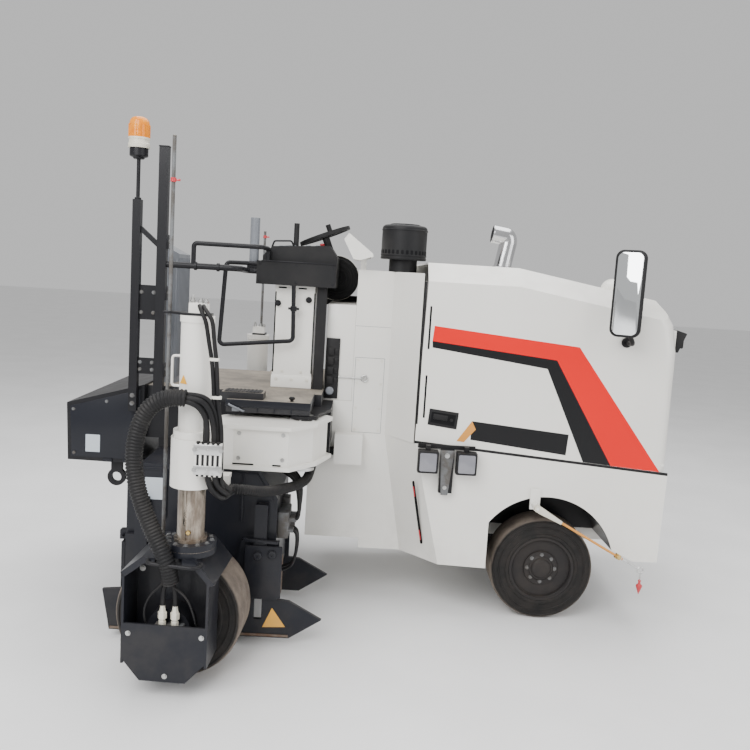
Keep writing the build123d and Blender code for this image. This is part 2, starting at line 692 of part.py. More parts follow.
# Drum housing: side walls, top, front and rear walls, open below
with BuildPart() as drum_housing:
    for wall in ((unit_y[0], unit_y[0] + unit_wall), (unit_y[1] - unit_wall, unit_y[1])):
        side_plate([(unit_x[0], unit_low_z), (unit_x[0], unit_top_z - 60), (unit_x[0] + 60, unit_top_z),
                    (unit_x[1] - 90, unit_top_z), (unit_x[1], unit_top_z - 140), (unit_x[1], unit_low_z)],
                   wall)
    block((unit_x[0] + 60, unit_x[1] - 90), unit_y, (unit_top_z - unit_wall, unit_top_z))
    block((unit_x[0], unit_x[0] + unit_wall), unit_y, (470, unit_top_z - 60))
    block((unit_x[1] - unit_wall, unit_x[1]), unit_y, (unit_low_z, unit_top_z - 140))
    side_plate([(unit_x[0], unit_top_z - 60), (unit_x[0] + 60, unit_top_z), (unit_x[0] + 60, unit_top_z - 20),
                (unit_x[0] + 15, unit_top_z - 66)], unit_y)
    side_plate([(unit_x[1] - 90, unit_top_z), (unit_x[1], unit_top_z - 140),
                (unit_x[1] - 18, unit_top_z - 146),
                (unit_x[1] - 96, unit_top_z - 22)], unit_y)
    cross_bar(drum_x, (unit_y[0] - 1, unit_y[1] + 1), drum_z, shaft_r + run_gap, mode=Mode.SUBTRACT)
    # Upright guides for the side plates: a spacer, and a keeper that holds the plate
    for outer, sense in ((unit_y[0], -1), (unit_y[1], 1)):
        inner_face = outer + sense * skid_off
        outer_face = inner_face + sense * skid_t
        for x in (unit_x[0] + 50, unit_x[1] - 40 - guide_w):
            block((x, x + guide_w), (outer, inner_face - sense * slide_gap), (300, 700))
            block((x + 12, x + guide_w - 12), (outer, outer_face + sense * (slide_gap + 16)), (300, 700))
            block((x, x + guide_w), (outer_face + sense * slide_gap, outer_face + sense * (slide_gap + 16)),
                  (300, 700))
    # Lugs and pins that the scraper door hangs on
    for lug in ((unit_y[0] + 20, unit_y[0] + 60), (unit_y[1] - 60, unit_y[1] - 20)):
        block((scraper_x - 16, unit_x[0]), lug, (scraper_z - 20, scraper_z + 25))
        cross_bar(scraper_x, (lug[0] - 29, lug[1] + 29), scraper_z, scraper_pin_r)
keep(drum_housing.part, "drum_housing")

# Side plates with their pointed skids
for outer, sense, name in ((unit_y[0], -1, "right_side_plate"), (unit_y[1], 1, "left_side_plate")):
    inner_face = outer + sense * skid_off
    span = (inner_face, inner_face + sense * skid_t)
    with BuildPart() as plate:
        side_plate([(-2215, 240), (-2180, skid_low_z), (-1315, skid_low_z), (-1162, 140), (-1320, 225),
                    (-1380, 232),
                    (-1380, 520), (-1560, 520), (-1600, 300), (-1950, 300), (-1980, 520), (-2110, 520),
                    (-2110, 250)],
                   span)
        for x in (unit_x[0] + 50, unit_x[1] - 40 - guide_w):
            block((x + 12 - slide_gap, x + guide_w - 12 + slide_gap), span, (290 - 160, 900),
                  mode=Mode.SUBTRACT)
    keep(plate.part, name)

# Scraper door behind the drum
with BuildPart() as scraper:
    block((scraper_x - 8, scraper_x + 8), (unit_y[0] + unit_wall + 6, unit_y[1] - unit_wall - 6), (70, 460))
    for y in (unit_y[0] + 74, unit_y[1] - 74):
        block((scraper_x - 8, scraper_x + 8), (y - 13, y + 13), (440, scraper_z))
        cross_bar(scraper_x, (y - 13, y + 13), scraper_z, 14)
        cross_bar(scraper_x, (y - 14, y + 14), scraper_z, scraper_pin_r + run_gap, mode=Mode.SUBTRACT)
keep(scraper.part, "scraper_door")

# Milling drum: core, end discs and shaft, with the picks and their holders in rising helices
with BuildPart() as pick:
    with BuildSketch(Plane.XZ.offset(-19)):
        Polygon((-8, -40), (74, -40), (66, 34), (20, 52), (-8, 30), align=None)
    extrude(amount=38)
    with BuildSketch(Plane(origin=(30, 0, 30), z_dir=(-0.56, 0, 0.83))):
        Circle(17)
    extrude(amount=38)
    with BuildSketch(Plane(origin=(30 - 0.56 * 34, 0, 30 + 0.83 * 34), z_dir=(-0.56, 0, 0.83))):
        Circle(14)
    extrude(amount=38, taper=18)

drum_length = drum_y[1] - drum_y[0]
with BuildPart() as milling_drum:
    cross_bar(drum_x, drum_y, drum_z, drum_core_r)
    cross_bar(drum_x, (unit_y[0] + 2, unit_y[1] - 2), drum_z, shaft_r)
    places = []
    for row in range(pick_rows):
        for step in range(picks_per_row):
            share = (step + 0.5) / picks_per_row
            turn = radians(360 * row / pick_rows + wrap_deg * abs(2 * share - 1))
            y = mid_y + drum_y[0] + 22 + share * (drum_length - 44)
            radial = Vector(sin(turn), 0, cos(turn))
            origin = Vector(axle_x + drum_x, y, drum_z) + radial * (drum_core_r + 4)
            places.append(Location(Plane(origin=origin, x_dir=Vector(cos(turn), 0, -sin(turn)),
                                         z_dir=radial)))
    add([pick.part.moved(place) for place in places])
keep(milling_drum.part, "milling_drum")

# Swing arm: two plates, the box between them and the pivot tube
arm_outline = [(-1340, -1200), (-1640, -1200), (-1640, -1440), (-1790, -1440), (-1800, -1120), (-1680, -960),
               (-1400, -800), (-1210, -800), (-1165, -850), (-1227, -1050)]
arm_box = [(-1350, -1180), (-1600, -1180), (-1640, -1210), (-1640, -1400), (-1780, -1400), (-1780, -1130),
           (-1670, -990), (-1400, -830), (-1235, -830), (-1190, -860), (-1247, -1050)]
with BuildPart() as swing_arm:
    flat_plate(arm_outline, (arm_z[0], arm_z[0] + arm_plate))
    flat_plate(arm_outline, (arm_z[1] - arm_plate, arm_z[1]))
    flat_plate(arm_box, (arm_z[0] + arm_plate, arm_z[1] - arm_plate))
    post(column[0], column[1], arm_z, column_ring_r)
    # Bracket of the feed hose below the arm, and the clamp of the conduit beside the column
    block((feed_start[0] - 40, feed_start[0] - seat_gap), (feed_start[1] - 28, feed_start[1] + 28),
          (feed_start[2] - feed_r - 4, arm_z[0]))
    block((-1640, feed_start[0]), (feed_start[1] - 28, -1320), (arm_z[0], arm_z[0] + arm_plate))
    block((conduit_start[0] - 55, conduit_start[0] + 52), (conduit_start[1] - 36, conduit_start[1] + 30),
          (965, arm_z[1]))
    block((conduit_start[0] - 35, conduit_start[0] + 25), (conduit_start[1] + 25, column[1] - 10),
          (985, 1085))
    post(column[0], column[1], (arm_z[0] - 5, arm_z[1] + 5), column_r + run_gap + 0.15, mode=Mode.SUBTRACT)
    post(pivot[0], pivot[1], (arm_z[0] - 5, arm_z[1] + 5), pivot_pin_r + run_gap, mode=Mode.SUBTRACT)
keep(swing_arm.part, "swing_arm")

with BuildPart() as pivot_pin:
    post(pivot[0], pivot[1], (girder_z[0] - 4, arm_z[1] + 19), pivot_pin_r)
    post(pivot[0], pivot[1], (girder_z[0] - 18, girder_z[0] - seat_gap), pivot_pin_r + 14)
keep(pivot_pin.part, "pivot_pin")


def sleeve(axis, top_z, label, collars):
    """White column tube that guides a leg, with its cap and its collars."""
    with BuildPart() as tube:
        post(axis[0], axis[1], (column_low_z, top_z), column_r)
        for low, high, radius in collars:
            post(axis[0], axis[1], (low, high), radius)
        post(axis[0], axis[1], (column_low_z - 1, top_z - 30), leg_r + run_gap, mode=Mode.SUBTRACT)
        block((axis[0] - 32, axis[0] + 40), (axis[1] - 30, axis[1] + 30), (top_z, top_z + 52))
    keep(tube.part, label)


sleeve(column, column_top_z, "right_sleeve",
       [(arm_z[1] + seat_gap, arm_z[1] + 30, 84), (column_top_z - 26, column_top_z, 70)])
sleeve(left_column, left_top_z, "left_sleeve",
       [(1060 + seat_gap, 1085, 84), (left_top_z - 26, left_top_z, 70)])


def rear_leg(axis, turn_deg, name, rod, rod_top_z, top_z):
    """Leg tube with keyway, flange and scale rod; the fork that turns under it; the wheel beside the fork."""
    foot = body.from_local_coords(Vector(axis[0], axis[1], 0))
    stem = Plane(origin=foot, x_dir=(1, 0, 0), z_dir=(0, 0, 1))
    base = Plane(origin=foot, x_dir=(cos(radians(turn_deg)), sin(radians(turn_deg)), 0), z_dir=(0, 0, 1))
    middle = -wheel_trail
    low_x = middle - box_half
    high_x = middle + box_half
    with BuildPart() as leg:
        post(0, 0, (swivel_z, top_z - 300), leg_r, stem)
        block((-12, 12), (-leg_r - 2, -leg_r + 9), (flange_z + 12, top_z - 340), stem, mode=Mode.SUBTRACT)
        post(0, 0, (swivel_z, flange_z), flange_r, stem)
        post(0, 0, (flange_z, flange_z + 12), leg_r + 12, stem)
        # Scale rod, and the lug that carries it on the flange
        post(rod[0], rod[1], (swivel_z, rod_top_z), rod_r, stem)
        block((min(rod[0] - 12, -12), min(rod[0] + 44, 12)), (max(rod[1] - 48, 18), rod[1] + 12),
              (swivel_z + 2, flange_z - 4), stem)
        post(0, 0, (swivel_z - 1, swivel_z + spigot_h), spigot_r + run_gap, stem, mode=Mode.SUBTRACT)
    keep(leg.part, name + "_leg")
    with BuildPart() as fork:
        post(0, 0, (yoke_z[1], swivel_z - seat_gap), flange_r, base)
        post(0, 0, (yoke_z[1], swivel_z + spigot_h - 2), spigot_r, base)
        # Yoke: a folded plate, flat over box and wheel, its two wings sloping down
        side_plate([(low_x + 78, yoke_z[1]), (high_x - 62, yoke_z[1]), (high_x + 22, yoke_z[0] - 70),
                    (high_x, yoke_z[0] - 80), (high_x - 74, yoke_z[0]), (low_x + 90, yoke_z[0]),
                    (low_x + 10, yoke_z[0] - 62), (low_x - 8, yoke_z[0] - 44)], (box_y[0], 222), base)
        post(conduit_notch[0], conduit_notch[1], (yoke_z[0] - 5, yoke_z[1]), conduit_r + 20, base,
             mode=Mode.SUBTRACT)
        # Motor box: two flanks, the wall that carries the motor, and the cover plate
        for x in (low_x, high_x - box_plate):
            block((x, x + box_plate), box_y, (150, yoke_z[0] - 60), base)
        side_plate([(low_x, 150), (low_x, yoke_z[0] - 60), (low_x + 84, yoke_z[0]), (high_x - 70, yoke_z[0]),
                    (high_x, yoke_z[0] - 80), (high_x, 150), (high_x - 80, cover_z[0]),
                    (low_x + 80, cover_z[0])],
                   (box_y[1] - 16, box_y[1]), base)
        side_plate([(low_x, 175), (low_x, cover_z[1]), (high_x, cover_z[1]), (high_x, 175),
                    (high_x - 88, cover_z[0]), (low_x + 80, cover_z[0])], (box_y[0], box_y[0] + box_plate),
                   base)
        side_plate([(low_x, 175), (low_x + 12, 175), (low_x + 86, cover_z[0] + 10),
                    (high_x - 94, cover_z[0] + 10),
                    (high_x - 12, 175), (high_x, 175), (high_x - 88, cover_z[0]), (low_x + 80, cover_z[0])],
                   (box_y[0], box_y[1]), base)
        cross_bar(middle, (box_y[1] - 16, box_y[1] - 120), tyre_r, 92, base)
        cross_bar(middle, (box_y[1] - 17, wheel_side - 30), tyre_r, 70, base)
    keep(fork.part, name + "_fork")
    hub_plane = Plane(origin=base.from_local_coords(Vector(middle, wheel_side, tyre_r)), x_dir=base.x_dir,
                      z_dir=base.y_dir)
    tyre(hub_plane, rear_tyre_w, name + "_rear_tyre")
    rim(hub_plane, rear_tyre_w, 70, (-30 + slide_gap, 92), stub_r, 0, name + "_rear_rim")


rear_leg(column, toe_deg, "right", right_rod, 2310, column_top_z)
rear_leg(left_column, 0, "left", left_rod, 2040, left_top_z)

# Corrugated conduit: from its clamp beside the column over and down to the motor box
conduit_points = [conduit_start, (-1630, -1578, 1190), (-1666, -1594, 1258), (-1742, -1606, 1279),
                  (-1815, -1606, 1272), (-1876, -1606, 1230), (-1911, -1606, 1155), (-1927, -1606, 1070),
                  (-1926, -1606, 980), (-1909, -1606, 890), (-1877, -1608, 800), (-1838, -1614, 718),
                  (-1797, -1622, 640), (-1774, -1618, 575), (-1768, -1604, 515)]
with BuildPart() as conduit:
    bent_tube(conduit_points, conduit_r, open_radii(conduit_points))
keep(conduit.part, "conduit")

# Feed hose from the column, under the arm, to the machine
feed_points = [feed_start, (-1520, -1365, 850), (-1455, -1310, 828), (-1385, -1190, 808), (-1320, -1060, 795),
               (-1280, -900, 782), (-1272, -765, 785), (-1268, -665, 800), (-1262, -590, 822),
               (-1240, -530, 838), (-1205, -500, 850), feed_end]
with BuildPart() as feed_hose:
    bent_tube(feed_points, feed_r, open_radii(feed_points))
keep(feed_hose.part, "feed_hose")

os.makedirs("parts", exist_ok=True)
for piece in made:
    export_step(piece, "parts/" + piece.label + ".step")
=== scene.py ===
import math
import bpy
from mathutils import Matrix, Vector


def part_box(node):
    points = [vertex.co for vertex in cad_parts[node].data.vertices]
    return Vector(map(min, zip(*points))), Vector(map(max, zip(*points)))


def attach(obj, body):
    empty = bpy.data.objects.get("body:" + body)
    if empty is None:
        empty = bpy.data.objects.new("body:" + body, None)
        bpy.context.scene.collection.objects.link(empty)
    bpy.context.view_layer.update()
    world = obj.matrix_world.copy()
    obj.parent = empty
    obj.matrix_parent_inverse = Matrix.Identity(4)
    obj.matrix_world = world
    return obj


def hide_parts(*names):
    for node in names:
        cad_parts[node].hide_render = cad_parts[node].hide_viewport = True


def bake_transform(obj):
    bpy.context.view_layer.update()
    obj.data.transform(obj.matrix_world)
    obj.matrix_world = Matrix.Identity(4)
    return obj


bl_info = {
    "name": "Cold planer dressing",
    "version": (1, 0, 0),
    "blender": (4, 5, 0),
    "location": "View3D > Sidebar > Planer",
    "description": "Dresses the packed cold planer with its tyres, hoses, fittings, trim and finishes",
    "category": "Add Mesh",
}

import bmesh
import bpy
from bpy.props import FloatProperty, FloatVectorProperty, IntProperty, PointerProperty
from mathutils import Matrix, Vector

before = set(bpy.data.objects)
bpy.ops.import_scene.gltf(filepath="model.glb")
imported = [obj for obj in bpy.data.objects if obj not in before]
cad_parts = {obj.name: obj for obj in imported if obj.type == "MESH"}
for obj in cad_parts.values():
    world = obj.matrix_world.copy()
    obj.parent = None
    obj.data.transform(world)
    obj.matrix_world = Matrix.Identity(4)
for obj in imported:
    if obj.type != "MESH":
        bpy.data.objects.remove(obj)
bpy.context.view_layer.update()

# Places are in metres from the front axle (x, forward), the hood's middle (y, left) and the ground (z)
tyre_low, tyre_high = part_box("front_right_tyre")
hood_low, hood_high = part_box("hood")
ORIGIN = Vector(((tyre_low.x + tyre_high.x) / 2, (hood_low.y + hood_high.y) / 2, 0.0))
BODY = Matrix.Translation(ORIGIN)
FORWARD, LEFT, RIGHT, UP = (1, 0, 0), (0, 1, 0), (0, -1, 0), (0, 0, 1)
TYRE_R = (tyre_high.z - tyre_low.z) / 2
FLANK = -(hood_high.y - hood_low.y) / 2
COLUMN = (-1.715, -1.49)
LEFT_COLUMN = (-1.7, 0.3)
COLUMN_TOP, LEFT_COLUMN_TOP = 1.6, 1.39
TOE = math.radians(-3.0)

# Right faces of the frame that trim lies on, by their y
HOUSING_FACE = -0.45
TOWER_FACE = -0.5
CONSOLE_FACE = -0.56
LAMP_FACE = -0.722
BOX_FACE = -0.75
DRUM_FACE = -1.035
ARM_FACE = -1.18

# Wheels: half the front track, how far the rear wheels stand behind and beside their legs, widths, rims
FRONT_SIDE = 0.49
REAR_TRAIL = 0.066
REAR_SIDE = 0.195
FRONT_WIDTH = 0.2
REAR_WIDTH = 0.25
RIM_R = 0.176

RIGHT_FORK = BODY @ Matrix.Translation((*COLUMN, 0.0)) @ Matrix.Rotation(TOE, 4, "Z")
LEFT_FORK = BODY @ Matrix.Translation((*LEFT_COLUMN, 0.0))


def at(x, y, z):
    """A point of the machine in the shared frame."""
    return ORIGIN + Vector((x, y, z))


def plane(point, across, up, base=BODY):
    """Matrix of a flat face: its x runs along across, its y along up, its z out of it."""
    x_dir = Vector(across).normalized()
    z_dir = x_dir.cross(Vector(up)).normalized()
    y_dir = z_dir.cross(x_dir)
    turned = Matrix((x_dir, y_dir, z_dir)).transposed().to_4x4()
    return base @ Matrix.Translation(point) @ turned


def upright(x, y, z=0.0):
    """Matrix of a place on the machine whose z points up."""
    return BODY @ Matrix.Translation((x, y, z))


def rightward(x, y, z, base=BODY):
    """Upright face at a point that looks to the right; its x runs forward and its y up."""
    return plane((x, y, z), FORWARD, UP, base)


def right_face(y, base=BODY):
    """The same with its middle at the base's origin, moved only sideways."""
    return rightward(0, y, 0, base)


def left_face(y, base=BODY):
    """Upright face that looks to the left; its x runs rearward and its y up."""
    return plane((0, y, 0), (-1, 0, 0), UP, base)


def front_face(x):
    """Upright face that looks forward; its x runs to the left and its y up."""
    return plane((x, 0, 0), LEFT, UP)


def top_face(z):
    """Level face that looks up; its x runs forward and its y to the left."""
    return plane((0, 0, z), FORWARD, LEFT)


def seen(sense, outline):
    """Outline, drawn as seen from the right, for a right face (sense 1) or a left face (sense -1)."""
    return [(sense * x, z) for x, z in outline]


def circle(radius, count, start=0.0):
    """Points evenly round a circle, the first at the angle start."""
    angles = [math.tau * step / count + start for step in range(count)]
    return [(radius * math.cos(angle), radius * math.sin(angle)) for angle in angles]


# Shader and geometry trees


class Wire:
    """A node's output; arithmetic on it adds Math nodes to its tree."""

    def __init__(self, graph, socket):
        self.graph = graph
        self.socket = socket

    def _maths(self, operation, first, second):
        return self.graph.node("ShaderNodeMath", {"operation": operation}, {0: first, 1: second})

    def __add__(self, other):
        return self._maths("ADD", self, other)

    __radd__ = __add__

    def __sub__(self, other):
        return self._maths("SUBTRACT", self, other)

    def __rsub__(self, other):
        return self._maths("SUBTRACT", other, self)

    def __mul__(self, other):
        return self._maths("MULTIPLY", self, other)

    __rmul__ = __mul__

    def __truediv__(self, other):
        return self._maths("DIVIDE", self, other)

    def __mod__(self, other):
        return self._maths("MODULO", self, other)

    def above(self, other):
        """1 where the value is above the other, else 0."""
        return self._maths("GREATER_THAN", self, other)


class Graph:
    """A node tree that is written one node at a time."""

    def __init__(self, tree):
        self.tree = tree

    def node(self, kind, settings=None, sockets=None, out=0):
        """Add a node: its settings first, then the values or wires of its sockets."""
        node = self.tree.nodes.new(kind)
        for name, value in (settings or {}).items():
            setattr(node, name, value)
        for name, value in (sockets or {}).items():
            if isinstance(value, Wire):
                self.tree.links.new(value.socket, node.inputs[name])
            else:
                node.inputs[name].default_value = value
        return Wire(self, node.outputs[out]) if node.outputs else None

    def vector(self, operation, first, second=(0.0, 0.0, 0.0), out=0):
        """A step of vector arithmetic."""
        return self.node("ShaderNodeVectorMath", {"operation": operation}, {0: first, 1: second}, out)

    def split(self, vector, axis):
        """One of the three numbers of a vector."""
        return self.node("ShaderNodeSeparateXYZ", None, {"Vector": vector}, axis)


class Finish(Graph):
    """A material: constants sit on the shader's sockets, and what varies is wired to it."""

    made = {}

    def __init__(self, name, sockets):
        self.material = bpy.data.materials.new(name)
        self.material.use_nodes = True
        super().__init__(self.material.node_tree)
        self.tree.nodes.clear()
        shader = self.node("ShaderNodeBsdfPrincipled", None, sockets)
        self.shader = shader.socket.node
        self.node("ShaderNodeOutputMaterial", None, {"Surface": shader})
        self.place = self.node("ShaderNodeTexCoord", None, None, "Object")
        Finish.made[name] = self.material

    def wire(self, **sockets):
        """Wire what varies to the shader, such as Base_Color or Roughness."""
        for name, value in sockets.items():
            self.tree.links.new(value.socket, self.shader.inputs[name.replace("_", " ")])

    def noise(self, scale, detail=3.0, roughness=0.5, stretch=None):
        """Smooth noise over the piece; stretch scales its three directions."""
        where = self.vector("MULTIPLY", self.place, stretch) if stretch else self.place
        return self.node("ShaderNodeTexNoise", None, {"Vector": where, "Scale": scale, "Detail": detail,
                                                      "Roughness": roughness})

    def cells(self, scale, stretch=None):
        """Distance from scattered points, for chips and pits."""
        where = self.vector("MULTIPLY", self.place, stretch) if stretch else self.place
        return self.node("ShaderNodeTexVoronoi", {"feature": "F1"}, {"Vector": where, "Scale": scale})

    def step(self, value, low, high, to_low=0.0, to_high=1.0):
        """A smooth step from to_low to to_high while value goes from low to high."""
        return self.node("ShaderNodeMapRange", {"interpolation_type": "SMOOTHSTEP"},
                         {"Value": value, "From Min": low, "From Max": high, "To Min": to_low,
                          "To Max": to_high})

    def mix(self, factor, first, second):
        """Mix of two colours, each a wire or three numbers."""
        first, second = [(*colour, 1.0) if isinstance(colour, tuple) else colour
                         for colour in (first, second)]
        return self.node("ShaderNodeMix", {"data_type": "RGBA"}, {0: factor, 6: first, 7: second}, 2)

    def height(self):
        """Height above the ground."""
        return self.split(self.place, 2)

    def facing_up(self):
        """How far the surface looks up, from -1 to 1."""
        normal = self.node("ShaderNodeNewGeometry", None, None, "Normal")
        return self.split(normal, 2)

    def attribute(self, name):
        """A number that the mesh carries under this name."""
        return self.node("ShaderNodeAttribute", {"attribute_name": name}, None, "Fac")

    def bump(self, height, strength, distance):
        """Wire a bump of this height to the shader."""
        self.wire(Normal=self.node("ShaderNodeBump", None, {"Strength": strength, "Distance": distance,
                                                            "Height": height}))


def enamel(name, colour, grime, rough=0.32, dust=0.5, peel=0.25, coat=0.35, grime_to=0.75, hollow=None,
           shine=0.5):
    """Sprayed paint: slight drift of colour, orange peel, dust that thickens towards the ground; where the
    point hollow is given, the faces that look towards it get painted shade: they are coloured near-black."""
    paint = Finish(name, {"Coat Roughness": 0.12, "Specular IOR Level": shine})
    drift = paint.step(paint.noise(1.1, 4.0), 0.3, 0.7)
    base = paint.mix(drift, tuple(0.95 * part for part in colour),
                     tuple(min(1.0, 1.03 * part) for part in colour))
    low = paint.step(paint.height(), 0.05, grime_to, 1.0, 0.0)
    patch = paint.step(paint.noise(5.0, 6.0, 0.62), 0.36, 0.72)
    streak = paint.step(paint.noise(1.0, 4.0, 0.6, (26.0, 26.0, 1.6)), 0.52, 0.78)
    film = (low * 0.75 + streak * 0.18) * patch * dust
    lying = paint.step(paint.facing_up(), 0.55, 0.98) * paint.step(paint.noise(9.0, 5.0), 0.3,
                                                                   0.7) * dust * 0.5
    total = film + lying
    # Painted shade: faces that look towards the hollow point, the inside of the shell, are coloured
    # near-black.
    if hollow:
        normal = paint.node("ShaderNodeTexCoord", None, None, "Normal")
        outward = paint.vector("DOT_PRODUCT", paint.vector("SUBTRACT", paint.place, tuple(hollow)), normal,
                               "Value")
        base = paint.mix(outward.above(-0.02), (0.018, 0.018, 0.02), base)
    paint.wire(Base_Color=paint.mix(total, base, grime), Roughness=total * 0.5 + paint.noise(34.0, 2.0)
               * 0.08 + rough, Coat_Weight=(1.0 - total) * coat)
    paint.bump(paint.noise(420.0, 2.0) * peel + paint.noise(3.0, 2.0) * 0.6, 0.1, 0.002)
    return paint


def cast_iron(name, colour, other, rough, pits, metal):
    """Bare or rusty metal: two colours in patches, pits and fine grain."""
    iron = Finish(name, {})
    patch = iron.step(iron.noise(14.0, 6.0, 0.66), 0.38, 0.62)
    grain = iron.noise(160.0, 4.0, 0.7)
    iron.wire(Base_Color=iron.mix(grain * 0.35, iron.mix(patch, colour, other),
                                  tuple(0.4 * part for part in colour)), Roughness=patch * 0.22 + rough,
              Metallic=(1.0 - patch) * metal)
    iron.bump(iron.cells(pits) * 0.5 + grain, 0.35, 0.0015)
    return iron


def bright_metal(name, colour, rough, brush, dirt):
    """Drawn or turned metal: fine brushing and a little dirt."""
    metal = Finish(name, {"Metallic": 1.0})
    lines = metal.noise(1.0, 3.0, 0.6, brush)
    soil = metal.step(metal.noise(18.0, 5.0, 0.65), 0.5, 0.8) * dirt
    metal.wire(Base_Color=metal.mix(soil, colour, (0.1, 0.085, 0.07)), Roughness=lines * 0.14 + soil * 0.4
               + rough)
    metal.bump(lines, 0.08, 0.0005)
    return metal


def moulding(name, colour, rough, grain, dusty):
    """Moulded plastic or rubber with a fine grain and dust that lies on its upper side."""
    plastic = Finish(name, {"Specular IOR Level": 0.22})
    lying = plastic.step(plastic.facing_up(), 0.2, 0.95) * 0.6 + 0.25
    dust = plastic.step(plastic.noise(7.0, 5.0, 0.6), 0.35, 0.75) * lying * dusty
    plastic.wire(Base_Color=plastic.mix(dust, colour, (0.15, 0.135, 0.12)),
                 Roughness=dust * 0.3 + plastic.noise(70.0, 2.0) * 0.08 + rough)
    plastic.bump(plastic.cells(grain), 0.15, 0.0006)
    return plastic


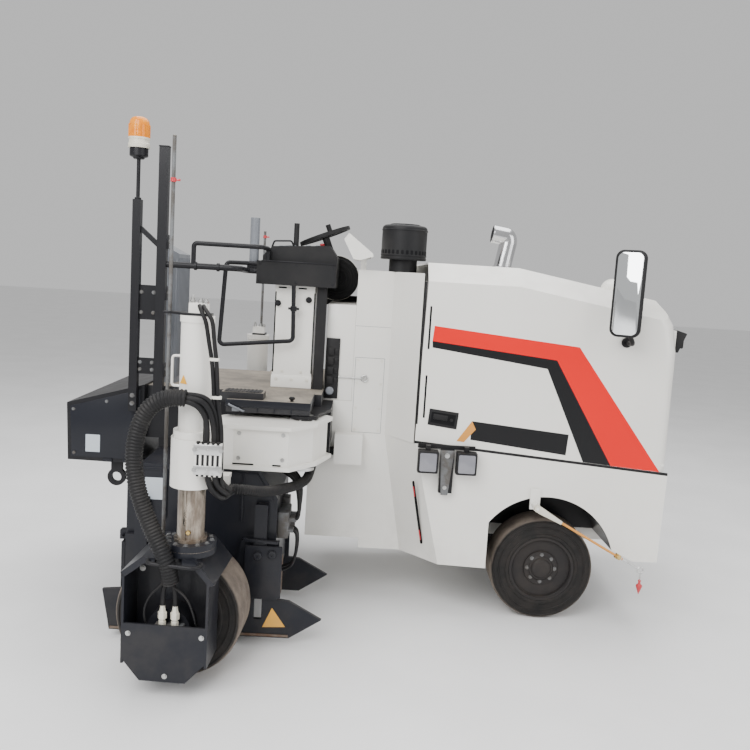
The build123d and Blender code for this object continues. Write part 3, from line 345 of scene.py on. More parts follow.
def mix_finishes(colours):
    """All finishes, by the names that the pieces use."""
    grime = (0.33, 0.295, 0.25)
    enamel("white_enamel", tuple(colours.body), grime, 0.3, 0.42)
    # The chassis shell: its inward faces get painted shade, coloured near-black.
    enamel("shell_enamel", tuple(colours.body), grime, 0.3, 0.42, hollow=at(-0.07, 0.0, 0.6))
    enamel("black_enamel", tuple(colours.chassis_dark), (0.07, 0.064, 0.058), 0.3, 0.4, 0.3, 0.1, 0.9,
           shine=0.2)
    enamel("frame_enamel", (0.012, 0.012, 0.014), (0.07, 0.064, 0.058), 0.38, 0.35, 0.3, 0.06, 1.3,
           shine=0.18)
    enamel("grey_enamel", (0.17, 0.18, 0.2), grime, 0.42, 0.35, coat=0.1, shine=0.3)
    enamel("rim_enamel", (0.02, 0.018, 0.018), (0.075, 0.06, 0.048), 0.46, 0.6, 0.3, 0.04, 0.7, shine=0.2)
    enamel("stripe_red", tuple(colours.stripe), grime, 0.34, 0.05, 0.12, 0.08, shine=0.18)
    enamel("stripe_black", (0.01, 0.01, 0.011), grime, 0.34, 0.05, 0.12, 0.06, shine=0.18)
    enamel("orange_enamel", (0.62, 0.27, 0.05), grime, 0.4, 0.2, coat=0.1, shine=0.3)
    enamel("marker_red", (0.5, 0.02, 0.03), grime, 0.34, 0.2)
    enamel("cream_enamel", (0.66, 0.63, 0.53), grime, 0.42, 0.35)
    enamel("pale_plate", (0.5, 0.55, 0.6), (0.25, 0.23, 0.2), 0.4, 0.4)
    enamel("amber_plate", (0.82, 0.4, 0.02), (0.25, 0.22, 0.18), 0.38, 0.3)
    moulding("black_plastic", (0.011, 0.011, 0.012), 0.46, 240.0, 0.18)
    moulding("white_plastic", (0.72, 0.7, 0.63), 0.4, 240.0, 0.25)
    moulding("pad_rubber", (0.024, 0.024, 0.026), 0.62, 160.0, 0.5)
    moulding("hose_rubber", (0.009, 0.009, 0.01), 0.5, 300.0, 0.3)
    moulding("gasket_rubber", (0.012, 0.012, 0.013), 0.55, 300.0, 0.2)
    cast_iron("worn_steel", (0.2, 0.155, 0.12), (0.11, 0.055, 0.03), 0.42, 90.0, 0.7)
    cast_iron("engine_casting", (0.16, 0.165, 0.17), (0.09, 0.08, 0.07), 0.55, 120.0, 0.2)
    bright_metal("bright_steel", (0.62, 0.62, 0.61), 0.24, (40.0, 40.0, 900.0), 0.5)
    bright_metal("zinc_bolt", (0.5, 0.5, 0.49), 0.3, (300.0, 300.0, 300.0), 0.6)
    bright_metal("polished_chrome", (0.6, 0.6, 0.61), 0.1, (5.0, 5.0, 60.0), 0.2)
    bright_metal("brass", (0.62, 0.44, 0.17), 0.28, (200.0, 200.0, 200.0), 0.4)

    grease = Finish("greased_steel", {"Coat Roughness": 0.2})
    smear = grease.step(grease.noise(1.0, 5.0, 0.62, (24.0, 24.0, 7.0)), 0.34, 0.68)
    grease.wire(Base_Color=grease.mix(smear, (0.42, 0.37, 0.31), (0.13, 0.095, 0.065)),
                Metallic=1.0 - smear * 0.85, Roughness=smear * 0.2 + 0.24, Coat_Weight=smear * 0.5)
    grease.bump(smear + grease.noise(90.0, 3.0) * 0.4, 0.3, 0.0012)

    rubber = Finish("solid_tyre", {"Specular IOR Level": 0.2})
    tread = rubber.attribute("tread")
    scuff = rubber.step(rubber.noise(11.0, 6.0, 0.7), 0.3, 0.7)
    dusted = rubber.mix(scuff, (0.2, 0.165, 0.135), (0.115, 0.095, 0.08))
    wall = rubber.mix(scuff * 0.6, (0.01, 0.0095, 0.0095), (0.034, 0.029, 0.026))
    rubber.wire(Base_Color=rubber.mix(rubber.step(tread + scuff * 0.3, 0.35, 1.1), wall, dusted),
                Roughness=scuff * 0.2 + tread * 0.2 + 0.48)
    rubber.bump(rubber.cells(55.0) * 0.7 + rubber.noise(240.0, 4.0, 0.7), 0.5, 0.0025)

    glass = Finish("mirror_glass", {"Metallic": 1.0, "Base Color": (0.8, 0.82, 0.83, 1.0)})
    glass.wire(Roughness=glass.step(glass.noise(9.0, 4.0), 0.45, 0.8, 0.03, 0.12))
    lens = Finish("lamp_lens", {"Coat Weight": 1.0, "Coat Roughness": 0.04})
    ribs = lens.node("ShaderNodeTexWave", None, {"Vector": lens.place, "Scale": 60.0, "Distortion": 0.0})
    lens.wire(Base_Color=lens.mix(ribs, (0.13, 0.13, 0.15), (0.26, 0.26, 0.29)), Roughness=ribs * 0.2 + 0.1)
    lens.bump(ribs, 0.4, 0.001)
    amber = Finish("amber_dome", {"Specular IOR Level": 0.3})
    fins = amber.step(amber.noise(1.0, 2.0, 0.5, (30.0, 30.0, 60.0)), 0.3, 0.7)
    amber.wire(Base_Color=amber.mix(fins, (0.7, 0.2, 0.004), (0.8, 0.27, 0.008)), Roughness=fins * 0.08 + 0.1)
    # dark_void: near-black painted shade for openings and recesses (slits, slots, the handle's well, the
    # exhaust's mouth); the console tower's strips are near-black with it too.
    dark = Finish("dark_void", {"Specular IOR Level": 0.1})
    dark.wire(Base_Color=dark.mix(dark.noise(30.0), (0.004, 0.004, 0.005), (0.012, 0.012, 0.013)),
              Roughness=dark.noise(60.0) * 0.1 + 0.7)
    core = Finish("radiator_core", {"Metallic": 0.4})
    fin = core.node("ShaderNodeTexWave", {"bands_direction": "Z"}, {"Vector": core.place, "Scale": 90.0})
    core.wire(Base_Color=core.mix(fin, (0.03, 0.03, 0.032), (0.14, 0.14, 0.145)), Roughness=fin * 0.2 + 0.45)
    core.bump(fin, 0.5, 0.002)

    pad = Finish("deck_grip", {})
    lugs = pad.cells(46.0, (1.0, 0.55, 1.0))
    raised = pad.step(lugs, 0.18, 0.3, 1.0, 0.0)
    dirt = pad.step(pad.noise(6.0, 6.0, 0.65), 0.3, 0.7)
    topside = pad.step(pad.facing_up(), 0.3, 0.8)
    pad.wire(Base_Color=pad.mix(topside * (dirt * 0.45 + 0.5), (0.016, 0.016, 0.019), (0.27, 0.235, 0.19)),
             Roughness=topside * 0.35 + 0.4)
    pad.bump(raised * topside + pad.noise(120.0, 3.0) * 0.4, 0.45, 0.0025)


SLOT_FINISH = {
    "white_paint": "white_enamel", "dark_paint": "black_enamel", "grey_paint": "grey_enamel",
    "rim_paint": "rim_enamel", "frame_black": "frame_enamel", "black_plastic": "black_plastic",
    "white_plastic": "cream_enamel", "amber_plastic": "amber_dome", "tyre_rubber": "solid_tyre",
    "hose_rubber": "hose_rubber", "greased_steel": "greased_steel", "steel": "bright_steel",
    "worn_steel": "worn_steel", "chrome": "polished_chrome", "engine_grey": "engine_casting",
    "orange_paint": "orange_enamel",
}
NODE_FINISH = {"deck": "deck_grip", "radiator": "radiator_core", "chassis": "shell_enamel",
               "right_fork": "black_enamel", "left_fork": "black_enamel"}
FINISH_SLOT = {value: key for key, value in SLOT_FINISH.items()}
FINISH_SLOT.update({
    "stripe_red": "orange_paint", "stripe_black": "frame_black", "marker_red": "orange_paint",
    "pale_plate": "grey_paint", "amber_plate": "amber_plastic", "pad_rubber": "black_plastic",
    "gasket_rubber": "hose_rubber", "zinc_bolt": "steel", "brass": "steel", "mirror_glass": "chrome",
    "lamp_lens": "chrome", "dark_void": "black_plastic", "deck_grip": "dark_paint",
    "radiator_core": "engine_grey", "white_plastic": "white_plastic", "cream_enamel": "white_plastic",
})


# Meshes, curves and repeats


class Solid:
    """A mesh put together from plates, turned parts and bars; every part is closed."""

    def __init__(self):
        self.mesh = bmesh.new()

    def _part(self, points, faces, place, edge):
        verts = [self.mesh.verts.new(place @ Vector(point)) for point in points]
        made = [self.mesh.faces.new([verts[index] for index in face]) for face in faces]
        bmesh.ops.recalc_face_normals(self.mesh, faces=made)
        if edge:
            sharp = {line for face in made for line in face.edges if line.calc_face_angle(0.0) > 0.5}
            bmesh.ops.bevel(self.mesh, geom=list(sharp), offset=edge, segments=2, profile=0.5, affect="EDGES",
                            clamp_overlap=True)
        return self

    def slab(self, outline, low, high, place=BODY, edge=0.0015):
        """Plate with this outline in the face's x and y, from low to high along its z."""
        count = len(outline)
        points = [(x, y, low) for x, y in outline] + [(x, y, high) for x, y in outline]
        sides = [(i, (i + 1) % count, count + (i + 1) % count, count + i) for i in range(count)]
        faces = [tuple(range(count))[::-1], tuple(range(count, 2 * count)), *sides]
        return self._part(points, faces, place, edge)

    def box(self, x, y, z, place=BODY, edge=0.002):
        """Block between two places along each direction."""
        return self.slab([(x[0], y[0]), (x[1], y[0]), (x[1], y[1]), (x[0], y[1])], z[0], z[1], place, edge)

    def turn(self, profile, place=BODY, steps=48, closed=False):
        """Part turned about the face's z from (radius, height) pairs; a radius of 0 closes a pole."""
        points, rings = [], []
        for radius, height in profile:
            if radius < 1e-9:
                rings.append([len(points)])
                points.append((0.0, 0.0, height))
            else:
                rings.append(list(range(len(points), len(points) + steps)))
                points.extend((x, y, height) for x, y in circle(radius, steps))
        faces = []
        for low, high in zip(rings, rings[1:] + rings[:1] if closed else rings[1:]):
            for i in range(steps):
                j = (i + 1) % steps
                quad = [low[i % len(low)], low[j % len(low)], high[j % len(high)], high[i % len(high)]]
                face = [quad[k] for k in range(4) if quad[k] not in quad[:k]]
                if len(face) > 2:
                    faces.append(tuple(face))
        if not closed:
            for ring in (rings[0], rings[-1]):
                if len(ring) > 1:
                    faces.append(tuple(ring))
        return self._part(points, faces, place, 0.0)

    def bar(self, start, end, radius, place=BODY, steps=20, edge=0.001):
        """Round bar between two points, its rims broken."""
        start, end = Vector(start), Vector(end)
        axis = end - start
        turned = Matrix.Translation(start) @ axis.to_track_quat("Z", "Y").to_matrix().to_4x4()
        size = axis.length
        profile = [(0, 0), (radius - edge, 0), (radius, edge), (radius, size - edge), (radius - edge, size),
                   (0, size)]
        return self.turn(profile, place @ turned, steps)

    def pipe(self, points, radius, place=BODY, steps=14, closed=False):
        """Round bar that follows points."""
        points = [Vector(point) for point in points]
        count = len(points)
        ring_points, normal = [], None
        for i, point in enumerate(points):
            ahead = points[(i + 1) % count] if closed or i + 1 < count else point
            behind = points[i - 1] if closed or i else point
            along = (ahead - behind).normalized()
            if normal is None:
                normal = along.orthogonal().normalized()
            normal = (normal - along * normal.dot(along)).normalized()
            other = along.cross(normal)
            ring_points.extend(point + radius * (x * normal + y * other) for x, y in circle(1.0, steps))
        faces = []
        for i in range(count if closed else count - 1):
            low, high = i * steps, (i + 1) % count * steps
            faces += [(low + k, low + (k + 1) % steps, high + (k + 1) % steps, high + k)
                      for k in range(steps)]
        if not closed:
            faces += [tuple(range(steps)), tuple(range((count - 1) * steps, count * steps))]
        return self._part(ring_points, faces, place, 0.0)

    def piece(self, name, body, finish, replaces=(), crease=0.6):
        """Make the object, shade it smooth between its creases and let it ride on its body."""
        for line in self.mesh.edges:
            line.smooth = line.calc_face_angle(0.0) < crease
        for face in self.mesh.faces:
            face.smooth = True
        data = bpy.data.meshes.new(name)
        self.mesh.to_mesh(data)
        self.mesh.free()
        return settle(bpy.data.objects.new(name, data), body, finish, replaces)


def settle(piece, body, finish, replaces=()):
    """Put a finished piece into the scene with its finish, and let it ride on its body when one is given."""
    if piece.name not in bpy.context.scene.collection.objects:
        bpy.context.scene.collection.objects.link(piece)
    piece.data.materials.clear()
    piece.data.materials.append(Finish.made[finish])
    if body:
        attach(piece, body)
    if replaces:
        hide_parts(*replaces)
    return piece


def rounded(corners, bend, steps=6):
    """Points of a bent bar: straight runs between corners, each turned on an arc of radius bend."""
    corners = [Vector(corner) for corner in corners]
    points = [corners[0]]
    for before, corner, after in zip(corners, corners[1:], corners[2:]):
        into, out = (before - corner).normalized(), (after - corner).normalized()
        half = into.angle(out) / 2
        reach = min(bend / math.tan(half), 0.49 * (before - corner).length, 0.49 * (after - corner).length)
        start, end = corner + into * reach, corner + out * reach
        for i in range(steps + 1):
            share = i / steps
            points.append(start * (1 - share) ** 2 + corner * 2 * share * (1 - share) + end * share ** 2)
    return points + [corners[-1]]


def rectangle(x, z, corner, steps=4):
    """Outline between two places each way, its corners rounded."""
    outline = []
    for centre_x, centre_z, start in ((x[1] - corner, z[1] - corner, 0), (x[0] + corner, z[1] - corner, 90),
                                      (x[0] + corner, z[0] + corner, 180),
                                      (x[1] - corner, z[0] + corner, 270)):
        for i in range(steps + 1):
            turn = math.radians(start + 90 * i / steps)
            outline.append((centre_x + corner * math.cos(turn), centre_z + corner * math.sin(turn)))
    return outline


def pane(x, z, half_x, half_z, corner, steps=4):
    """The same outline by its middle and its half sizes."""
    return rectangle((x - half_x, x + half_x), (z - half_z, z + half_z), corner, steps)


def route(name, points, radius=0.0):
    """A smooth NURBS curve through a hose's route, in the machine's metres."""
    data = bpy.data.curves.new(name, "CURVE")
    data.dimensions = "3D"
    spline = data.splines.new("NURBS")
    spline.points.add(len(points) - 1)
    for control, point in zip(spline.points, points):
        control.co = (*at(*point), 1.0)
    spline.order_u = 3
    spline.use_endpoint_u = True
    spline.resolution_u = 10
    data.bevel_depth = radius
    data.bevel_resolution = 3
    data.use_fill_caps = True
    return bpy.data.objects.new(name, data)


def hose(name, points, radius, body):
    """A smooth hose that rides on one body."""
    return settle(route(name, points, radius), body, "hose_rubber")


class Repeats(Graph):
    """Geometry nodes that repeat a small part over a carrier, or shape one by a rule."""

    def __init__(self, name):
        super().__init__(bpy.data.node_groups.new(name, "GeometryNodeTree"))
        self.tree.interface.new_socket("Geometry", in_out="INPUT", socket_type="NodeSocketGeometry")
        self.tree.interface.new_socket("Geometry", in_out="OUTPUT", socket_type="NodeSocketGeometry")
        self.inputs = self.tree.nodes.new("NodeGroupInput")

    def size(self, name, value):
        """A named input of the tree with its usual value."""
        socket = self.tree.interface.new_socket(name, in_out="INPUT", socket_type="NodeSocketFloat")
        socket.default_value = value
        return Wire(self, self.inputs.outputs[name])

    def carrier(self):
        """The geometry that the tree is run on."""
        return Wire(self, self.inputs.outputs["Geometry"])

    def close(self, result, finish):
        """End the tree in real geometry that carries its finish."""
        real = self.node("GeometryNodeRealizeInstances", None, {"Geometry": result})
        painted = self.node("GeometryNodeSetMaterial", None,
                            {"Geometry": real, "Material": Finish.made[finish]})
        self.node("NodeGroupOutput", None, {"Geometry": painted})
        return self.tree

    @staticmethod
    def run(tree, carrier, name, **sizes):
        """Plain mesh object that the tree makes on a carrier object; the carrier is removed."""
        bpy.context.scene.collection.objects.link(carrier)
        modifier = carrier.modifiers.new("repeats", "NODES")
        modifier.node_group = tree
        for item in tree.interface.items_tree:
            if item.in_out == "INPUT" and item.socket_type != "NodeSocketGeometry":
                modifier[item.identifier] = sizes.get(item.name, item.default_value)
        graph = bpy.context.evaluated_depsgraph_get()
        data = bpy.data.meshes.new_from_object(carrier.evaluated_get(graph), depsgraph=graph)
        carrier.modifiers.remove(modifier)
        bpy.data.objects.remove(carrier)
        data.name = name
        return bpy.data.objects.new(name, data)


def bolt_tree(finish):
    """Hexagon heads on washers, stood on carrier points along their facing, scaled by their size."""
    graph = Repeats("hexagon_bolts_" + finish)
    head = graph.size("Head height", 0.62)
    washer = graph.size("Washer height", 0.16)
    facing = graph.node("GeometryNodeInputNamedAttribute", {"data_type": "FLOAT_VECTOR"}, {"Name": "facing"})
    size = graph.node("GeometryNodeInputNamedAttribute", {"data_type": "FLOAT"}, {"Name": "size"})
    parts = []
    for sides, radius, height, low in ((6, 1.0, head, washer), (16, 1.32, washer, 0.0)):
        solid = graph.node("GeometryNodeMeshCylinder", None, {"Vertices": sides, "Radius": radius,
                                                              "Depth": height})
        lift = graph.node("ShaderNodeCombineXYZ", None, {"Z": height * 0.5 + low})
        parts.append(graph.node("GeometryNodeTransform", None, {"Geometry": solid, "Translation": lift}))
    joined = graph.node("GeometryNodeJoinGeometry")
    for part in parts:
        graph.tree.links.new(part.socket, joined.socket.node.inputs[0])
    turn = graph.node("FunctionNodeAlignRotationToVector", {"axis": "Z"}, {"Vector": facing})
    placed = graph.node("GeometryNodeInstanceOnPoints", None, {"Points": graph.carrier(), "Instance": joined,
                                                               "Rotation": turn, "Scale": size})
    return graph.close(placed, finish)


def bolts(name, body, places, base=BODY, finish="zinc_bolt", **sizes):
    """Bolts at (point, facing, half width across corners) of a base, as one piece."""
    data = bpy.data.meshes.new(name)
    data.from_pydata([base @ Vector(point) for point, _, _ in places], [], [])
    turned = base.to_3x3()
    for attribute, kind in (("facing", "FLOAT_VECTOR"), ("size", "FLOAT")):
        data.attributes.new(attribute, kind, "POINT")
    facing, size = data.attributes["facing"], data.attributes["size"]
    for index, (_, way, width) in enumerate(places):
        facing.data[index].vector = (turned @ Vector(way)).normalized()
        size.data[index].value = width
    tree = bpy.data.node_groups.get("hexagon_bolts_" + finish) or bolt_tree(finish)
    return settle(Repeats.run(tree, bpy.data.objects.new(name, data), name, **sizes), body, finish)


def bellows_tree():
    """Hose whose wall swells into a rib at every pitch of its route."""
    graph = Repeats("hose_bellows")
    radius = graph.size("Radius", 0.035)
    pitch = graph.size("Pitch", 0.013)
    groove = graph.size("Groove", 0.0045)
    path = graph.node("GeometryNodeResampleCurve", {"mode": "LENGTH"},
                      {"Curve": graph.carrier(), "Length": pitch / 4.0})
    index = graph.node("GeometryNodeInputIndex")
    low = (index % 4.0 - 1.5) * (index % 4.0 - 1.5)
    wall = radius - groove * low.above(1.0)
    ring = graph.node("GeometryNodeCurvePrimitiveCircle", None, {"Resolution": 20, "Radius": 1.0})
    shell = graph.node("GeometryNodeCurveToMesh", None, {"Curve": path, "Profile Curve": ring, "Scale": wall,
                                                         "Fill Caps": True})
    return graph.close(shell, "hose_rubber")


def bellows(name, points, radius, pitch, groove):
    """A corrugated hose along a route, as a mesh with nothing that it rides on yet."""
    tree = bpy.data.node_groups.get("hose_bellows") or bellows_tree()
    made = Repeats.run(tree, route(name, points), name, Radius=radius, Pitch=pitch, Groove=groove)
    made.data.shade_smooth()
    return made


def link_tree(finish):
    """Chain links along a route, every second one turned a quarter."""
    graph = Repeats("chain_links")
    pitch = graph.size("Pitch", 0.012)
    wire = graph.size("Wire", 0.0016)
    path = graph.node("GeometryNodeResampleCurve", {"mode": "LENGTH"},
                      {"Curve": graph.carrier(), "Length": pitch})
    points = graph.node("GeometryNodeCurveToPoints", {"mode": "EVALUATED"}, {"Curve": path})
    tangent = graph.node("GeometryNodeInputTangent")
    along = graph.node("FunctionNodeAlignRotationToVector", {"axis": "Y"}, {"Vector": tangent})
    quarter = graph.node("FunctionNodeAxisAngleToRotation", None,
                         {"Axis": (0.0, 1.0, 0.0), "Angle": (graph.node("GeometryNodeInputIndex") % 2.0)
                          * (math.pi / 2)})
    turn = graph.node("FunctionNodeRotateRotation", {"rotation_space": "LOCAL"},
                      {"Rotation": along, "Rotate By": quarter})
    ring = graph.node("GeometryNodeCurvePrimitiveCircle", None, {"Resolution": 14, "Radius": 1.0})
    oval = graph.node("GeometryNodeTransform", None, {"Geometry": ring,
                                                      "Scale": graph.node("ShaderNodeCombineXYZ", None,
                                                                          {"X": pitch * 0.42,
                                                                           "Y": pitch * 0.66, "Z": 1.0})})
    section = graph.node("GeometryNodeCurvePrimitiveCircle", None, {"Resolution": 6, "Radius": wire})
    link = graph.node("GeometryNodeCurveToMesh", None, {"Curve": oval, "Profile Curve": section})
    placed = graph.node("GeometryNodeInstanceOnPoints", None, {"Points": points, "Instance": link,
                                                               "Rotation": turn})
    return graph.close(placed, finish)


# Settings


class PLANER_PG_colours(bpy.types.PropertyGroup):
    """Colours that a user would change."""

    body: FloatVectorProperty(name="Body white", description="Colour of hood, chassis, housing and columns",
                              subtype="COLOR", size=3, min=0.0, max=1.0, default=(0.79, 0.775, 0.73))
    chassis_dark: FloatVectorProperty(name="Working parts",
                                      description="Colour of fork, drum unit and rear box", subtype="COLOR",
                                      size=3, min=0.0, max=1.0, default=(0.013, 0.014, 0.019))
    stripe: FloatVectorProperty(name="Stripe red", description="Colour of the wide stripe on the hood",
                                subtype="COLOR", size=3, min=0.0, max=1.0, default=(0.74, 0.01, 0.008))


class PLANER_PG_sizes(bpy.types.PropertyGroup):
    """Sizes that a user would change, in metres, and one count."""

    conduit_radius: FloatProperty(name="Conduit radius",
                                  description="Outside of the large corrugated conduit", default=0.036,
                                  min=0.01, max=0.06, unit="LENGTH")
    feed_radius: FloatProperty(name="Feed hose radius", description="Outside of the corrugated feed hose",
                               default=0.024, min=0.008, max=0.04, unit="LENGTH")
    line_radius: FloatProperty(name="Pressure line radius", description="Outside of the thin pressure lines",
                               default=0.0085, min=0.003, max=0.02, unit="LENGTH")
    decal: FloatProperty(name="Stripe thickness", description="How far the stripes stand off the hood",
                         default=0.0007, min=0.0002, max=0.003, unit="LENGTH")
    wheel_bolts: IntProperty(name="Wheel bolts", description="Bolts round the cap of a front wheel",
                             default=8, min=4, max=12)


class PLANER_PG_stage(bpy.types.PropertyGroup):
    """Camera and light of the stage."""

    lens: FloatProperty(name="Lens", description="Focal length of the camera in millimetres", default=38.4,
                        min=10.0, max=200.0)
    key: FloatProperty(name="Key light", description="Strength of the large soft light at the left",
                       default=420.0, min=0.0, max=2000.0)
    fill: FloatProperty(name="Fill light", description="Strength of the soft light at the right",
                        default=150.0, min=0.0, max=2000.0)
    sky: FloatProperty(name="Room", description="Strength of the even light all round", default=0.65, min=0.0,
                       max=5.0)


# One operator for each piece or group of like pieces


class Maker:
    """What all operators of the planer share."""

    bl_options = {"REGISTER", "UNDO"}


class PLANER_OT_finishes(Maker, bpy.types.Operator):
    """Mix the finishes and paint the parts of the frame with them"""

    bl_idname = "planer.finishes"
    bl_label = "Finishes"

    def execute(self, context):
        mix_finishes(context.scene.planer_colours)
        for name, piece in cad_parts.items():
            for slot in piece.material_slots:
                plain = slot.material.name.split(".")[0]
                slot.material = Finish.made[NODE_FINISH.get(name) or SLOT_FINISH[plain]]
        return {"FINISHED"}


AXLE = Matrix.Translation((0, TYRE_R, 0))
REAR_AXLE = Matrix.Translation((REAR_TRAIL, TYRE_R, 0))
WHEELS = {
    "front_right": ("front_right_wheel", right_face(-FRONT_SIDE) @ AXLE, FRONT_WIDTH),
    "front_left": ("front_left_wheel", left_face(FRONT_SIDE) @ AXLE, FRONT_WIDTH),
    "right_rear": ("right_rear_wheel", left_face(REAR_SIDE, RIGHT_FORK) @ REAR_AXLE, REAR_WIDTH),
    "left_rear": ("left_rear_wheel", left_face(REAR_SIDE, LEFT_FORK) @ REAR_AXLE, REAR_WIDTH),
}


class PLANER_OT_tyres(Maker, bpy.types.Operator):
    """Solid rubber tyres with ringed side walls and a worn, dusty tread"""

    bl_idname = "planer.tyres"
    bl_label = "Tyres"

    def execute(self, context):
        for name, (body, hub, width) in WHEELS.items():
            half = width / 2
            wall = [(RIM_R + 0.0006, -half + 0.006), (0.181, -half + 0.0015), (0.188, -half),
                    (0.195, -half + 0.001), (0.199, -half + 0.005), (0.226, -half + 0.0055),
                    (0.229, -half + 0.0025), (0.234, -half + 0.0025), (0.237, -half + 0.006),
                    (0.255, -half + 0.0065), (0.258, -half + 0.004), (0.262, -half + 0.0045),
                    (0.265, -half + 0.009), (0.272, -half + 0.0125), (0.2765, -half + 0.021),
                    (TYRE_R - 0.0004, -half + 0.034)]
            tread = [(TYRE_R, -half + 0.055), (TYRE_R, -0.012), (TYRE_R - 0.0006, 0.0)]
            side = wall + tread
            profile = side + [(radius, -height) for radius, height in reversed(side[:-1])]
            solid = Solid().turn(profile, hub, 160, closed=True)
            tyre = solid.piece(name + "_solid_tyre", body, "solid_tyre", (name + "_tyre",), 0.45)
            values = tyre.data.attributes.new("tread", "FLOAT", "POINT")
            inverse = hub.inverted()
            for vertex in tyre.data.vertices:
                local = inverse @ vertex.co
                values.data[vertex.index].value = max(0.0, min(1.0, (math.hypot(local.x, local.y) - 0.262)
                                                               / 0.015))
        return {"FINISHED"}


class PLANER_OT_wheel_caps(Maker, bpy.types.Operator):
    """Domed hub caps with their ring of bolts, and the rim's dish"""

    bl_idname = "planer.wheel_caps"
    bl_label = "Wheel caps"

    def execute(self, context):
        count = context.scene.planer_sizes.wheel_bolts
        for name, (body, hub, width) in WHEELS.items():
            out = (width - FRONT_WIDTH) / 2 - (0.017 if width == REAR_WIDTH else 0.0)
            profile = [(0.0935, 0.062), (0.0935, 0.0735), (0.0915, 0.0765), (0.06, 0.0785), (0.0565, 0.0805),
                       (0.0545, 0.0855), (0.051, 0.0905), (0.043, 0.095), (0.03, 0.098), (0.014, 0.099),
                       (0, 0.0992)]
            cap = Solid().turn([(0, 0.062), *profile], hub @ Matrix.Translation((0, 0, out)), 64)
            cap.turn([(0.163, 0.0665), (0.163, 0.0895), (0.16, 0.0925), (0.157, 0.0895), (0.157, 0.0665)],
                     hub @ Matrix.Translation((0, 0, out)), 96, closed=True)
            cap.piece(name + "_hub_cap", body, "rim_enamel")
            ring = [((x, y, 0.0775 + out), UP, 0.0085) for x, y in circle(0.0745, count)]
            bolts(name + "_cap_bolts", body, ring, hub, "engine_casting")
        return {"FINISHED"}


CONDUIT = [(-1.728, -1.604, 1.276), (-1.748, -1.606, 1.279), (-1.815, -1.606, 1.272), (-1.876, -1.606, 1.23),
           (-1.911, -1.606, 1.155), (-1.927, -1.606, 1.07), (-1.926, -1.606, 0.98), (-1.909, -1.606, 0.89),
           (-1.877, -1.608, 0.8), (-1.838, -1.614, 0.718), (-1.797, -1.622, 0.64), (-1.774, -1.618, 0.575),
           (-1.768, -1.604, 0.515)]
FEED = [(-1.58, -1.365, 0.85), (-1.52, -1.365, 0.85), (-1.455, -1.31, 0.828), (-1.385, -1.19, 0.808),
        (-1.32, -1.06, 0.795), (-1.28, -0.9, 0.782), (-1.272, -0.765, 0.785), (-1.268, -0.665, 0.8),
        (-1.262, -0.59, 0.822), (-1.24, -0.53, 0.838), (-1.205, -0.5, 0.85), (-1.16, -0.5, 0.85)]


class PLANER_OT_conduit(Maker, bpy.types.Operator):
    """Large corrugated conduit from the column's lines down into the motor box"""

    bl_idname = "planer.conduit"
    bl_label = "Conduit"

    def execute(self, context):
        radius = context.scene.planer_sizes.conduit_radius
        cut = tuple((a + b) / 2 for a, b in zip(CONDUIT[7], CONDUIT[8]))
        upper = bellows("conduit_upper", CONDUIT[:8] + [cut], radius, 0.0135, 0.0042)
        lower = bellows("conduit_lower", [cut] + CONDUIT[8:], radius, 0.0135, 0.0042)
        settle(upper, None, "hose_rubber", ("conduit",))
        settle(lower, None, "hose_rubber", ("conduit",))
        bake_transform(upper)
        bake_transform(lower)
        return {"FINISHED"}


class PLANER_OT_feed_hose(Maker, bpy.types.Operator):
    """Corrugated feed hose that sags from the swing arm to the machine"""

    bl_idname = "planer.feed_hose"
    bl_label = "Feed hose"

    def execute(self, context):
        radius = context.scene.planer_sizes.feed_radius
        feed = bellows("feed_hose_sleeve", FEED, radius, 0.0098, 0.0028)
        settle(feed, None, "hose_rubber", ("feed_hose",))
        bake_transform(feed)
        return {"FINISHED"}


